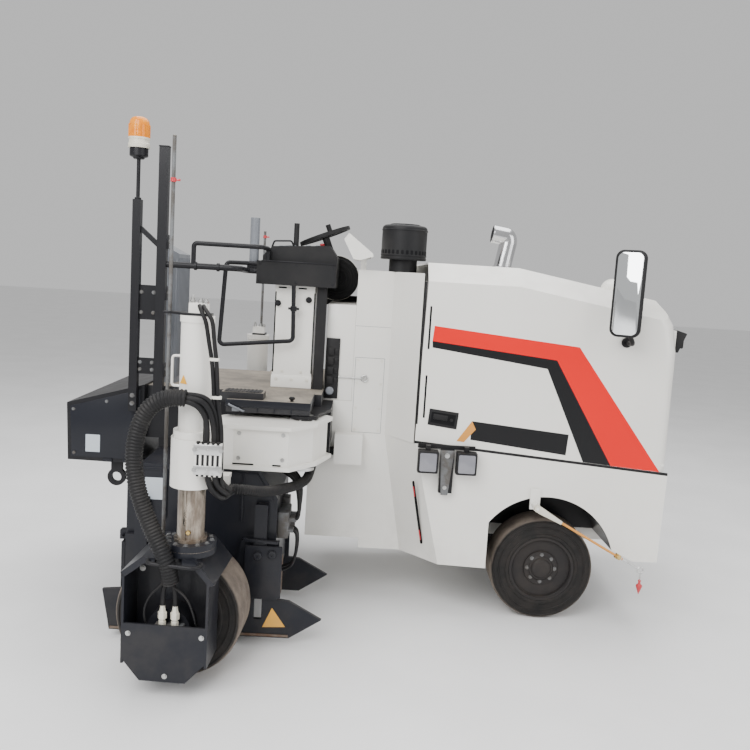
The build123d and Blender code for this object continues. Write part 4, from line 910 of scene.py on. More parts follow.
class PLANER_OT_column_lines(Maker, bpy.types.Operator):
    """Pressure lines down the right column, their clamp, strap and clips"""

    bl_idname = "planer.column_lines"
    bl_label = "Column lines"

    def execute(self, context):
        thin = context.scene.planer_sizes.line_radius
        for index, (dx, dy) in enumerate(((0.0, 0.0), (0.027, -0.002))):
            hose(f"column_line_{index + 1}",
                 [(-1.704 + dx * 0.6, -1.5, 1.628), (-1.702 + dx * 0.6, -1.53, 1.644),
                  (-1.694 + dx * 0.6, -1.56, 1.638), (-1.676 + dx, -1.574 + dy, 1.605),
                  (-1.664 + dx, -1.574 + dy, 1.58), (-1.651 + dx * 0.8, -1.571 + dy, 1.5),
                  (-1.637 + dx * 0.7, -1.57 + dy, 1.43), (-1.628 + dx * 0.6, -1.57 + dy, 1.34),
                  (-1.622 + dx * 0.6, -1.572 + dy, 1.25), (-1.608 + dx * 0.7, -1.576 + dy, 1.17),
                  (-1.6 + dx * 0.6, -1.582 + dy, 1.11), (-1.598 + dx * 0.6, -1.582 + dy, 0.975),
                  (-1.596 + dx * 0.6, -1.57 + dy, 0.925), (-1.588 + dx * 0.4, -1.52, 0.89),
                  (-1.584 + dx * 0.4, -1.45, 0.872), (-1.576, -1.4, 0.862),
                  (-1.565, -1.368, 0.856 - dx * 0.5)],
                 thin, "swing_arm")
        for index, (dx, dy, dz) in enumerate(((0.012, -0.01, 0.004), (-0.006, -0.014, -0.014),
                                              (0.02, 0.01, 0.018), (-0.012, 0.01, 0.002))):
            hose(f"conduit_line_{index + 1}",
                 [(-1.752, -1.606 + dy * 0.6, 1.277 + dz * 0.6),
                  (-1.715, -1.604 + dy * 0.8, 1.277 + dz * 0.8),
                  (-1.668 + dx, -1.598 + dy, 1.262 + dz), (-1.64 + dx, -1.588 + dy, 1.215 + dz),
                  (-1.632 + dx * 1.5, -1.582 + dy, 1.15), (-1.632 + dx * 1.6, -1.58 + dy, 1.09),
                  (-1.63 + dx * 1.6, -1.582 + dy, 0.985), (-1.616 + dx * 1.3, -1.574 + dy, 0.925 + dz),
                  (-1.59 + dx, -1.54 + dy, 0.886 + dz), (-1.578 + dx, -1.49 + dy, 0.862 + dz),
                  (-1.576, -1.43 + dy, 0.852 + dz * 0.8), (-1.57, -1.395 + dy * 0.5, 0.85 + dz * 0.6),
                  (-1.56, -1.366 + dy * 0.5, 0.85 + dz * 0.5)], 0.0118, "swing_arm")
        clamp = Solid()
        for low, high in ((0.972, 1.01), (1.054, 1.096)):
            clamp.box((-1.689, -1.574), (-1.6195, -1.6138), (low, high), edge=0.0025)
            for x in (-1.672, -1.6315, -1.592):
                clamp.bar((x, -1.6235, (low + high) / 2), (x, -1.6185, (low + high) / 2), 0.005, steps=6)
        clamp.piece("line_clamp", "swing_arm", "bright_steel")
        ribs = Solid()
        for x in (-1.672, -1.652, -1.632, -1.612, -1.592):
            ribs.bar((x, -1.607, 0.964), (x, -1.607, 1.106), 0.0088)
        ribs.piece("clamped_lines", "swing_arm", "hose_rubber")
        clips = Solid()
        for z, x in ((1.428, -1.629), (1.275, -1.615)):
            clips.slab(rectangle((x - 0.019, x + 0.023), (-1.583, -1.56), 0.011), z, z + 0.012, top_face(0),
                       0.0008)
        clips.piece("line_clips", "swing_arm", "white_plastic")
        heads = [((x, -1.6195, z), RIGHT, 0.0075) for x in (-1.684, -1.579) for z in (0.991, 1.075)]
        bolts("clamp_bolts", "swing_arm", heads)
        return {"FINISHED"}


GUIDES = {
    "right": [(0.055, -0.034), (0.055, 0.046), (-0.118, 0.054), (-0.144, 0.054), (-0.144, 0.008),
              (-0.118, 0.008), (-0.06, -0.034)],
    "left": [(-0.034, -0.034), (0.046, -0.034), (0.046, 0.06), (0.018, 0.15), (-0.018, 0.15),
             (-0.034, 0.06)],
}
RODS = {"right": (-0.122, 0.03), "left": (0.0, 0.128)}


class PLANER_OT_column_heads(Maker, bpy.types.Operator):
    """Ports, guide plate and handle at the heads of both columns"""

    bl_idname = "planer.column_heads"
    bl_label = "Column heads"

    def execute(self, context):
        for name, body, (x, y), top in (("right", "swing_arm", COLUMN, COLUMN_TOP),
                                        ("left", "machine", LEFT_COLUMN, LEFT_COLUMN_TOP)):
            ports = Solid()
            for dx in (-0.02, 0.012, 0.034):
                ports.turn([(0, 0), (0.011, 0), (0.011, 0.011), (0.0075, 0.012), (0.0075, 0.019), (0, 0.019)],
                           upright(x + dx, y - 0.01, top + 0.051), 6)
            ports.bar((x - 0.02, y - 0.01, top + 0.066), (x - 0.02, y - 0.01, top + 0.082), 0.006)
            ports.piece(name + "_ports", body, "zinc_bolt")
            guide = Solid().slab([(x + px, y + py) for px, py in GUIDES[name]], top + 0.0005, top + 0.0105,
                                 top_face(0), 0.0015)
            guide.piece(name + "_rod_guide", body, "frame_enamel")
            bolts(name + "_cap_bolts", body, [((x + dx, y + dy, top + 0.0525), UP, 0.006)
                                              for dx in (-0.027, 0.034) for dy in (-0.024, 0.024)])
        handle = Solid().pipe(rounded([(-1.776, -1.492, 1.432), (-1.812, -1.492, 1.432),
                                       (-1.812, -1.492, 1.308), (-1.776, -1.492, 1.308)], 0.014), 0.0055)
        handle.piece("column_handle", "swing_arm", "white_enamel")
        tangent = plane((-1.7528, -1.5442, 1.325), (0.81, -0.58, 0), UP)
        sign = Solid().slab([(-0.02, 0.0), (0.02, 0.0), (0.0, 0.036)], 0.0, 0.0012, tangent, 0.0)
        sign.piece("column_triangle", "swing_arm", "amber_plate")
        return {"FINISHED"}


class PLANER_OT_leg_trim(Maker, bpy.types.Operator):
    """Flange bolts, key bolt and rod markers of both legs"""

    bl_idname = "planer.leg_trim"
    bl_label = "Leg trim"

    def execute(self, context):
        for name, body, (x, y), marker, tip in (("right", "right_leg", COLUMN, 2.136, 0.1735),
                                                ("left", "left_leg", LEFT_COLUMN, 2.005, 0.0345)):
            rod_x, rod_y = x + RODS[name][0], y + RODS[name][1]
            ring = [((x + dx, y + dy, 0.6598), UP, 0.0085) for dx, dy in circle(0.09, 12)]
            bolts(name + "_flange_bolts", body, ring, finish="engine_casting")
            plate = Solid().turn([(0.058, 0.635), (0.1084, 0.635), (0.1084, 0.6606), (0.058, 0.6606)],
                                 upright(x, y), 64, closed=True)
            plate.piece(name + "_flange", body, "black_enamel")
            scale = Solid().bar((rod_x, rod_y, 0.64), (rod_x, rod_y, marker + tip), 0.0079, steps=16)
            scale.piece(name + "_scale_rod", body, "engine_casting")
            key = Solid().turn([(0, 0), (0.0105, 0), (0.0105, 0.004), (0.008, 0.0072), (0, 0.008)],
                               rightward(x, y - 0.048, 0.703), 24)
            key.piece(name + "_key_bolt", body, "brass")
            tag = Solid().turn([(0.0078, -0.009), (0.0115, -0.008), (0.0115, 0.008), (0.0078, 0.009)],
                               upright(rod_x, rod_y, marker), 20, closed=True)
            tag.box((rod_x + 0.01, rod_x + 0.028), (rod_y - 0.003, rod_y + 0.003),
                    (marker - 0.004, marker + 0.004), edge=0.001)
            tag.piece(name + "_rod_marker", body, "marker_red")
        return {"FINISHED"}


class PLANER_OT_forks(Maker, bpy.types.Operator):
    """Conduit hoop, hydraulic fittings, lines and bolts of the motor boxes"""

    bl_idname = "planer.forks"
    bl_label = "Forks"

    def execute(self, context):
        for name, body, base in (("right", "right_fork", RIGHT_FORK), ("left", "left_leg", LEFT_FORK)):
            hoop = Solid().pipe(rounded([(-0.138, -0.096, 0.6), (-0.138, -0.153, 0.6), (0.066, -0.153, 0.59),
                                         (0.072, -0.096, 0.59)], 0.035), 0.0085, base)
            hoop.piece(name + "_conduit_hoop", body, "frame_enamel")
            union = [(0, 0), (0.016, 0), (0.016, 0.02), (0.0125, 0.022), (0.0125, 0.03), (0.019, 0.032),
                     (0.019, 0.058), (0.014, 0.062), (0.011, 0.078), (0.0095, 0.1), (0, 0.1)]
            unions = Solid()
            for x in (-0.084, -0.031):
                unions.turn(union, base @ Matrix.Translation((x, -0.088, 0.312)), 6)
            unions.piece(name + "_unions", body, "cream_enamel", crease=0.3)
            for index, x in enumerate((-0.084, -0.031)):
                line = [(x, -0.088, 0.4), (x, -0.088, 0.44), (x + 0.004 - index * 0.008, -0.092, 0.48),
                        (-0.06 + index * 0.012, -0.104, 0.515), (-0.062 + index * 0.012, -0.112, 0.56)]
                hose(f"{name}_motor_line_{index + 1}", [tuple(base @ Vector(point) - ORIGIN)
                                                        for point in line], 0.0105, body)
            for index, (low, high) in enumerate(((-0.16, 0.3), (0.05, 0.31))):
                side = -0.1 if index == 0 else -0.01
                line = [(-0.066, -0.104, 0.56), (-0.066, -0.11, 0.51), ((low + side) / 2, -0.112, 0.455),
                        (low, -0.106, 0.38), (low + 0.01, -0.09, high), (low + 0.04, -0.06, high - 0.06)]
                hose(f"{name}_sensor_lead_{index + 1}", [tuple(base @ Vector(point) - ORIGIN)
                                                         for point in line], 0.0045, body)
            block = Solid().box((-0.118, 0.004), (-0.108, 0.02), (0.255, 0.314), base, 0.004)
            block.piece(name + "_port_block", body, "engine_casting")
            heads = [((x, -0.1205, z), RIGHT, 0.0085) for x, z in ((-0.216, 0.282), (0.09, 0.284),
                                                                   (-0.059, 0.106))]
            heads += [((x, 0.0455, z), RIGHT, 0.01) for x, z in ((-0.214, 0.5), (0.09, 0.5))]
            heads += [((x, y, 0.6105), UP, 0.0095) for x, y in ((-0.14, 0.02), (-0.14, 0.17), (0.03, 0.17),
                                                                (-0.05, 0.19))]
            bolts(name + "_fork_bolts", body, heads, base)
        return {"FINISHED"}


STRIPE_RED = [(-0.676, 1.567), (0.08, 1.501), (0.56, 0.8695), (0.299, 0.888), (-0.031, 1.426),
              (-0.682, 1.488)]
STRIPE_BLACK = [(-0.682, 1.488), (-0.031, 1.426), (0.299, 0.888), (0.151, 0.899), (-0.077, 1.379),
                (-0.679, 1.455)]
BLANK_PLATE = [(-0.4487, 0.984), (-0.4467, 1.083), (0.0638, 1.041), (0.0571, 0.93)]
BLANK_BAR = [(-0.5208, 0.973), (-0.4467, 1.083), (-0.4241, 1.04), (-0.4817, 0.97)]
SEAM = [(-0.738, 0.955), (0.605, 0.857)]
FLANKS = (("right", right_face(FLANK), 1), ("left", left_face(-FLANK), -1))


class PLANER_OT_stripes(Maker, bpy.types.Operator):
    """Red and black stripes and the blank plate on the hood's flanks"""

    bl_idname = "planer.stripes"
    bl_label = "Stripes"

    def execute(self, context):
        thick = context.scene.planer_sizes.decal
        outlines = (("stripe_red", STRIPE_RED, "stripe_red", 0.0), ("stripe_black", STRIPE_BLACK,
                                                                    "stripe_black", 0.0),
                    ("blank_plate", BLANK_PLATE, "stripe_black", 0.0002),
                    ("blank_bar", BLANK_BAR, "orange_enamel", 0.0004))
        for name, outline, finish, off in outlines:
            for side, face, sense in FLANKS:
                solid = Solid().slab(seen(sense, outline), -0.0002, thick + off, face, 0.0)
                solid.piece(f"{side}_{name}", "hood", finish)
        return {"FINISHED"}


class PLANER_OT_hood_trim(Maker, bpy.types.Operator):
    """Gaskets round the hood, near-black slabs of painted shade in its slots and handle wells, its handles
    and front lamps
    """

    bl_idname = "planer.hood_trim"
    bl_label = "Hood trim"

    def execute(self, context):
        gasket = Solid()
        for _, face, sense in FLANKS:
            strip = [(-0.739, SEAM[0][1] - 0.007), (0.606, SEAM[1][1] - 0.007), (0.606, SEAM[1][1] + 0.007),
                     (-0.739, SEAM[0][1] + 0.007)]
            gasket.slab(seen(sense, strip), -0.012, -0.001, face, 0.001)
        gasket.box((-0.7395, -0.7285), (-0.6505, 0.6505), (1.05, 1.79), edge=0.002)
        gasket.piece("housing_gasket", "machine", "gasket_rubber")
        # holes: near-black slabs in the slits and in the handle's well, painted shade of the openings.
        holes, frames = Solid(), Solid()
        for side, face, sense in FLANKS:
            proud = 1.0 if side == "right" else 0.1
            for x, low, high in ((-0.7, 1.445, 1.667), (-0.7, 1.085, 1.31)):
                holes.slab(seen(sense, rectangle((x - 0.005, x + 0.005), (low, high), 0.0045)), -0.001,
                           0.0006, face, 0.0)
            handle = [(-0.672, 1.138), (-0.518, 1.122), (-0.526, 1.034), (-0.678, 1.052)]
            frames.slab(seen(sense, handle), -0.001, 0.004 * proud, face, 0.003 * proud)
            well = [(-0.66, 1.122), (-0.532, 1.109), (-0.54, 1.05), (-0.665, 1.066)]
            holes.slab(seen(sense, well), 0.0, 0.0044 * proud, face, 0.0)
            pull = [(-0.65, 1.112), (-0.575, 1.104), (-0.578, 1.076), (-0.652, 1.084)]
            frames.slab(seen(sense, pull), 0.0, 0.0085 * proud, face, 0.0025 * proud)
            frames.bar((sense * -0.555, 1.082, 0.0), (sense * -0.555, 1.082, 0.009 * proud), 0.008, face,
                       edge=0.0)
        holes.piece("hood_slots", "hood", "dark_void")
        frames.piece("hood_handles", "hood", "black_plastic")
        lamps, lenses = Solid(), Solid()
        shroud = [(0.6, 1.4985), (0.618, 1.4985), (0.6572, 1.6005), (0.6, 1.6165)]
        for low, high in ((0.4385, 0.5815), (-0.5815, -0.4385)):
            lamps.slab(shroud, low, high, right_face(0), 0.002)
        for y in (-0.51, 0.51):
            outline = rectangle((y - 0.064, y + 0.064), (1.52, 1.596), 0.01)
            lamps.slab([(-0.001 + py, pz) for py, pz in outline], 0.612, 0.646, front_face(0), 0.004)
            lenses.slab(rectangle((y - 0.054, y + 0.054), (1.53, 1.588), 0.008), 0.644, 0.6475, front_face(0),
                        0.0015)
        lamps.piece("front_lamp_housings", "hood", "black_plastic")
        lenses.piece("front_lamp_lenses", "hood", "lamp_lens")
        return {"FINISHED"}


class PLANER_OT_mirror(Maker, bpy.types.Operator):
    """Glass, frame, knob and ball joint of the rear view mirror"""

    bl_idname = "planer.mirror"
    bl_label = "Mirror"

    def execute(self, context):
        turn = math.radians(-32.0)
        base = upright(0.254, -0.8) @ Matrix.Rotation(turn, 4, "Z")
        face = right_face(-0.0105, base)
        rim = Solid().slab(rectangle((-0.0745, 0.0745), (1.5755, 2.0045), 0.04, 8), -0.004, 0.004, face,
                           0.003)
        rim.piece("mirror_rim", "hood", "black_plastic")
        glass = Solid().slab(rectangle((-0.0625, 0.0625), (1.5875, 1.9925), 0.032, 8), 0.0035, 0.0052, face,
                             0.0008)
        glass.piece("mirror_face", "hood", "mirror_glass")
        ball = Solid().turn([(0, -0.017), (0.009, -0.0145), (0.0155, -0.007), (0.017, 0.0), (0.0155, 0.007),
                             (0.009, 0.0145), (0, 0.017)], upright(0.27, -0.776, 1.64), 24)
        ball.piece("mirror_ball", "hood", "bright_steel")
        knob = Solid().turn([(0, 0), (0.017, 0), (0.017, 0.006), (0.0125, 0.01), (0.0125, 0.018), (0, 0.018)],
                            plane((0.27, -0.776, 1.653), FORWARD, LEFT), 6)
        knob.piece("mirror_nut", "hood", "zinc_bolt")
        return {"FINISHED"}


class PLANER_OT_work_lamps(Maker, bpy.types.Operator):
    """Lenses, frames and bracket of the two work lamps on the right flank"""

    bl_idname = "planer.work_lamps"
    bl_label = "Work lamps"

    def execute(self, context):
        glass, frames = Solid(), Solid()
        for x in (-0.668, -0.468):
            frames.slab(rectangle((x - 0.053, x + 0.053), (0.811, 0.927), 0.01), 0.0, 0.01,
                        right_face(LAMP_FACE), 0.003)
            glass.slab(rectangle((x - 0.043, x + 0.043), (0.821, 0.917), 0.008), 0.009, 0.0115,
                       right_face(LAMP_FACE), 0.001)
            for k in range(5):
                z = 0.834 + 0.0175 * k
                frames.box((x - 0.05, x + 0.05), (-0.7, -0.664), (z, z + 0.005), edge=0.001)
        glass.piece("work_lamp_lenses", "machine", "lamp_lens")
        frames.piece("work_lamp_frames", "machine", "black_plastic")
        wedge = Solid().slab([(-0.604, 0.928), (-0.53, 0.928), (-0.552, 0.69), (-0.588, 0.69)], 0.0, 0.006,
                             right_face(-0.684), 0.0015)
        wedge.piece("work_lamp_bracket", "machine", "engine_casting")
        heads = [((x, LAMP_FACE, 0.817), RIGHT, 0.0065) for x in (-0.668, -0.468)]
        heads += [((-0.567, -0.69, 0.9), RIGHT, 0.01), ((-0.57, -0.69, 0.73), RIGHT, 0.008)]
        bolts("work_lamp_bolts", "machine", heads)
        return {"FINISHED"}


class PLANER_OT_exhaust(Maker, bpy.types.Operator):
    """Wide chrome elbow of the exhaust with its foot ring and a near-black disc of painted shade in its mouth
    """

    bl_idname = "planer.exhaust"
    bl_label = "Exhaust"

    def execute(self, context):
        line = rounded([(-0.279, -0.2, 1.892), (-0.254, -0.2, 2.04), (-0.262, -0.2, 2.064),
                        (-0.345, -0.2, 2.076)], 0.075, 10)
        elbow = Solid().pipe(line, 0.049, steps=40)
        elbow.turn([(0.049, 0.0), (0.058, 0.0), (0.058, 0.006), (0.051, 0.01), (0.049, 0.01)],
                   upright(-0.279, -0.2, 1.8892), 40, closed=True)
        out = (line[-1] - line[-2]).normalized()
        mouth = plane(line[-1], LEFT, out.cross(Vector(LEFT)))
        elbow.turn([(0.046, -0.004), (0.05, -0.004), (0.051, 0.002), (0.049, 0.004), (0.046, 0.003)], mouth,
                   40, closed=True)
        elbow.piece("exhaust_elbow", "hood", "polished_chrome", ("exhaust",), 0.9)
        # Painted shade: a near-black disc just inside the mouth stands for the dark inside of the pipe.
        dark = Solid().turn([(0, 0.0004), (0.0465, 0.0004), (0.0465, 0.0012), (0, 0.0012)], mouth, 32)
        dark.piece("exhaust_mouth", "hood", "dark_void")
        return {"FINISHED"}


class PLANER_OT_intake(Maker, bpy.types.Operator):
    """Bands and slots of the intake drum, rim and ridges of the air filter"""

    bl_idname = "planer.intake"
    bl_label = "Air intake"

    def execute(self, context):
        drum = Solid()
        here = upright(-0.848, -0.4)
        for low in (1.8985, 1.914, 2.046):
            drum.turn([(0.1205, low), (0.1235, low + 0.002), (0.1235, low + 0.008), (0.1205, low + 0.01)],
                      here, 96, closed=True)
        drum.turn([(0, 2.0775), (0.08, 2.0775), (0.08, 2.083), (0.074, 2.085), (0, 2.086)], here, 64)
        drum.piece("intake_bands", "machine", "black_plastic")
        # The drum's slots are near-black slabs: painted shade of the openings.
        slots = Solid()
        for step in range(30):
            turn = Matrix.Rotation(math.tau * step / 30, 4, "Z")
            slots.slab(rectangle((-0.007, 0.007), (-0.011, 0.011), 0.004, 2), 0.12, 0.1216,
                       here @ turn @ plane((0, 0, 1.934), LEFT, UP, Matrix()), 0.0)
        slots.piece("intake_slots", "machine", "dark_void")
        low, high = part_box("air_filter")
        middle = (low + high) / 2 - ORIGIN
        end = right_face(low.y - ORIGIN.y) @ Matrix.Translation((middle.x, 1.776, 0.0))
        rim = Solid().turn([(0.1262, -0.031), (0.1275, -0.029), (0.1275, -0.006), (0.1262, -0.003)], end, 96,
                           closed=True)
        rim.piece("filter_rim", "machine", "cream_enamel")
        cap = Solid()
        for radius in (0.105, 0.078, 0.05, 0.024):
            cap.turn([(radius - 0.006, -0.001), (radius - 0.004, 0.004), (radius + 0.004, 0.004),
                      (radius + 0.006, -0.001)], end, 72, closed=True)
        for turn in (0.5, 2.6, 4.7):
            x, z = 0.118 * math.cos(turn), 0.118 * math.sin(turn)
            cap.slab(pane(x, z, 0.009, 0.009, 0.003), -0.014, 0.0045, end, 0.0015)
        cap.piece("filter_cap", "machine", "black_plastic")
        return {"FINISHED"}


class PLANER_OT_console(Maker, bpy.types.Operator):
    """Hoop, seams, switches, knobs and slots of the console, and the panel beside it"""

    bl_idname = "planer.console"
    bl_label = "Console"

    def execute(self, context):
        black = Solid()
        black.pipe(rounded([(-1.541, -0.52, 1.92), (-1.528, -0.535, 1.951), (-1.44, -0.535, 1.956),
                            (-1.428, -0.52, 1.93)], 0.014), 0.0048)
        black.slab([(-1.588, 1.843), (-1.198, 1.843), (-1.198, 1.8492), (-1.588, 1.8492)], 0.0, 0.0035,
                   right_face(CONSOLE_FACE), 0.0008)
        for x, z in ((-1.499, 1.629), (-1.337, 1.654)):
            black.turn([(0, 0), (0.0165, 0), (0.0165, 0.006), (0.011, 0.009), (0.0125, 0.02), (0.009, 0.024),
                        (0, 0.025)], rightward(x, TOWER_FACE, z), 24)
        black.turn([(0.0112, -0.014), (0.0168, -0.012), (0.0168, 0.012), (0.0112, 0.014)],
                   plane((-1.4112, -0.548, 1.606), FORWARD, LEFT), 20, closed=True)
        black.box((-1.44, -1.382), (-0.554, -0.542), (1.6, 1.612), edge=0.0015)
        black.piece("console_fittings", "machine", "frame_enamel")
        strips = Solid()
        for x in (-1.512, -1.3065):
            strips.slab(rectangle((x - 0.0035, x + 0.0035), (1.262, 1.69), 0.003), -0.001, 0.0012,
                        right_face(TOWER_FACE), 0.0)
        for x in (-1.478, -1.372):
            strips.slab(rectangle((x - 0.022, x + 0.022), (1.708, 1.716), 0.003), -0.001, 0.0012,
                        right_face(TOWER_FACE), 0.0)
        strips.piece("tower_slots", "machine", "dark_void")
        foot = Solid().box((-1.519, -1.303), (-0.5045, -0.4995), (1.1815, 1.246), edge=0.0015)
        foot.piece("tower_foot", "machine", "white_enamel")
        heads = [((x, -0.5045, 1.226), RIGHT, 0.007) for x in (-1.492, -1.41, -1.328)]
        heads += [((x, TOWER_FACE, 1.268), RIGHT, 0.006) for x in (-1.462, -1.362)]
        bolts("tower_bolts", "machine", heads, finish="white_plastic")
        bolts("console_bolts", "machine", [((x, CONSOLE_FACE, z), RIGHT, 0.005)
                                           for x in (-1.596, -1.405, -1.214) for z in (1.741, 1.832)],
              finish="frame_enamel")
        tilt = math.atan2(1.942 - 1.924, 0.3)
        dash = upright(-1.388, -0.35, 1.933) @ Matrix.Rotation(-tilt, 4, "Y")
        switches = Solid()
        for row in range(2):
            for column in range(5):
                x, y = 0.085 - 0.052 * row, -0.15 + 0.05 * column
                switches.slab(pane(x, y, 0.011, 0.014, 0.003, 2), -0.001, 0.0045, dash, 0.0015)
        switches.box((-0.118, -0.03), (-0.15, -0.06), (-0.001, 0.004), dash, 0.0015)
        switches.piece("dash_switches", "machine", "grey_enamel")
        gauge = Solid()
        for y in (0.01, 0.09):
            gauge.turn([(0, -0.001), (0.03, -0.001), (0.03, 0.008), (0.026, 0.01), (0, 0.0075)],
                       dash @ Matrix.Translation((-0.07, y, 0.0)), 36)
        gauge.piece("dash_gauges", "machine", "black_plastic")
        stop = Solid().turn([(0, -0.001), (0.011, -0.001), (0.011, 0.012), (0.017, 0.014), (0.017, 0.021),
                             (0.012, 0.025), (0, 0.026)], dash @ Matrix.Translation((0.095, 0.14, 0.0)), 28)
        stop.piece("stop_button", "machine", "marker_red")
        tube = Solid().bar((-1.634, -0.51, 1.79), (-1.634, -0.51, 2.064), 0.0245, steps=28)
        tube.piece("console_tube", "machine", "grey_enamel")
        seat = Solid().box((-1.664, -1.598), (-0.548, -0.478), (1.795, 1.835), edge=0.003)
        seat.piece("console_tube_seat", "machine", "frame_enamel")
        wing = Solid().box((-1.236, -1.0833), (-0.4499, 0.05), (1.1202, 1.64), edge=0.003)
        wing.piece("housing_wing", "machine", "white_enamel")
        panel = Solid().box((-1.233, -1.16), (-0.462, -0.4497), (1.13, 1.457), edge=0.003)
        for z in (1.21, 1.262, 1.314, 1.366):
            panel.box((-1.222, -1.19), (-0.472, -0.461), (z, z + 0.04), edge=0.002)
            panel.box((-1.184, -1.168), (-0.468, -0.461), (z + 0.006, z + 0.034), edge=0.002)
        panel.piece("breaker_panel", "machine", "black_plastic")
        socket = Solid().turn([(0, 0), (0.022, 0), (0.022, 0.01), (0.017, 0.013), (0.017, 0.02), (0, 0.022)],
                              rightward(-1.204, -0.462, 1.172), 28)
        socket.piece("breaker_socket", "machine", "grey_enamel")
        stay = Solid().bar((-1.165, -0.457, 1.248), (-1.036, -0.457, 1.248), 0.0042)
        ring = [(-1.019 + dx, -0.457, 1.248 + dz) for dx, dz in circle(0.0165, 28)]
        stay.pipe(ring, 0.0042, closed=True)
        stay.bar((-1.019, -0.449, 1.248), (-1.019, -0.464, 1.248), 0.006)
        stay.piece("eye_rod", "machine", "bright_steel")
        return {"FINISHED"}


class PLANER_OT_deck_trim(Maker, bpy.types.Operator):
    """Rim, step ribs, latch and knob of the deck"""

    bl_idname = "planer.deck_trim"
    bl_label = "Deck trim"

    def execute(self, context):
        rim = Solid()
        rim.box((-1.672, -1.27), (-1.0045, -0.9995), (1.148, 1.1835), edge=0.0015)
        rim.box((-1.2725, -1.2685), (-1.0, -0.692), (1.148, 1.1835), edge=0.0015)
        for x in (-1.6, -1.52, -1.44, -1.36):
            rim.box((x - 0.003, x + 0.003), (-1.0035, -0.9995), (1.126, 1.148), edge=0.001)
        rim.piece("deck_rim", "machine", "black_enamel")
        latch = Solid().pipe(rounded([(-1.655, -0.999, 1.16), (-1.655, -1.012, 1.16), (-1.585, -1.012, 1.13),
                                      (-1.585, -0.999, 1.13)], 0.01), 0.005)
        latch.box((-1.64, -1.606), (-1.01, -1.0), (1.128, 1.146), edge=0.002)
        latch.piece("deck_latch", "machine", "grey_enamel")
        knob = Solid().turn([(0, 0), (0.008, 0), (0.008, 0.008), (0.014, 0.011), (0.015, 0.018),
                             (0.01, 0.023), (0, 0.024)], upright(-1.363, -0.95, 1.18), 24)
        knob.piece("deck_knob", "machine", "black_plastic")
        pad = Solid().slab(rectangle((-1.69, -1.51), (-0.955, -0.865), 0.012), 1.212, 1.215, top_face(0),
                           0.0015)
        for x in range(9):
            pad.box((-1.682 + 0.019 * x, -1.672 + 0.019 * x), (-0.95, -0.87), (1.2145, 1.2175), edge=0.001)
        pad.piece("pedal_pad", "machine", "pad_rubber")
        return {"FINISHED"}


class PLANER_OT_mast(Maker, bpy.types.Operator):
    """Beacon, caps and clamps of the posts and rails behind the deck"""

    bl_idname = "planer.mast"
    bl_label = "Mast and beacon"

    def execute(self, context):
        here = upright(-2.17, -0.78)
        dome = [(0, 2.39), (0.049, 2.39), (0.0495, 2.396), (0.049, 2.448), (0.0455, 2.468), (0.037, 2.481),
                (0.022, 2.488), (0, 2.4898)]
        glass = Solid().turn(dome, here, 48)
        glass.piece("beacon_dome", "machine", "amber_dome", ("beacon",), 0.9)
        cage = Solid()
        for x, y in circle(0.049, 16):
            cage.bar((x, y, 2.394), (x, y, 2.452), 0.0024, here, 8, 0.0004)
        cage.piece("beacon_ribs", "machine", "amber_dome", ("beacon",))
        collar = Solid().turn([(0, 2.342), (0.05, 2.342), (0.0518, 2.345), (0.0518, 2.362), (0.048, 2.366),
                               (0.048, 2.38), (0.0512, 2.383), (0.0512, 2.391), (0, 2.3915)], here, 48)
        collar.piece("beacon_collar", "machine", "cream_enamel", ("beacon",))
        base = Solid().turn([(0, 2.2913), (0.024, 2.2913), (0.03, 2.299), (0.04, 2.302), (0.044, 2.306),
                             (0.044, 2.34), (0.042, 2.3425), (0, 2.3425)], here, 48)
        base.piece("beacon_base", "machine", "frame_enamel", ("beacon",))
        trim = Solid()
        trim.box((-2.07, -2.02), (-0.802, -0.758), (2.3552, 2.3612), edge=0.0015)
        trim.turn([(0.0092, 2.1002), (0.016, 2.1002), (0.016, 2.108), (0.0092, 2.112)], here, 24, closed=True)
        for x in (-1.88, -1.77):
            trim.turn([(0.0155, -0.007), (0.0205, -0.006), (0.0205, 0.006), (0.0155, 0.007)],
                      plane((x, -0.78, 1.797), LEFT, UP), 24, closed=True)
        for z in (1.24, 1.62, 1.87):
            trim.box((-2.0245, -2.015), (-0.798, -0.762), (z, z + 0.07), edge=0.002)
        trim.piece("mast_trim", "machine", "frame_enamel")
        heads = [((x, -0.785, z), RIGHT, 0.0075) for x in (-2.14, -2.08)
                 for z in (1.272, 1.308, 1.555, 1.655)]
        heads += [((-2.17, -0.8, z), RIGHT, 0.009) for z in (1.1, 1.14)]
        heads += [((-2.015, -0.78, z + 0.035), FORWARD, 0.008) for z in (1.24, 1.62, 1.87)]
        bolts("mast_bolts", "machine", heads, finish="engine_casting")
        low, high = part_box("rear_case")
        low, high = low - ORIGIN, high - ORIGIN
        ribs = Solid()
        for step in range(9):
            y = low.y + 0.018 + step * (high.y - low.y - 0.036) / 8
            ribs.box((high.x - 0.001, high.x + 0.004), (y - 0.006, y + 0.006), (low.z + 0.03, high.z - 0.07),
                     edge=0.001)
        for step in range(4):
            x = low.x + 0.018 + step * 0.024
            ribs.box((x, x + 0.01), (low.y - 0.0045, low.y + 0.001), (low.z + 0.03, high.z - 0.075),
                     edge=0.001)
        ribs.piece("rear_case_ribs", "machine", "grey_enamel")
        return {"FINISHED"}


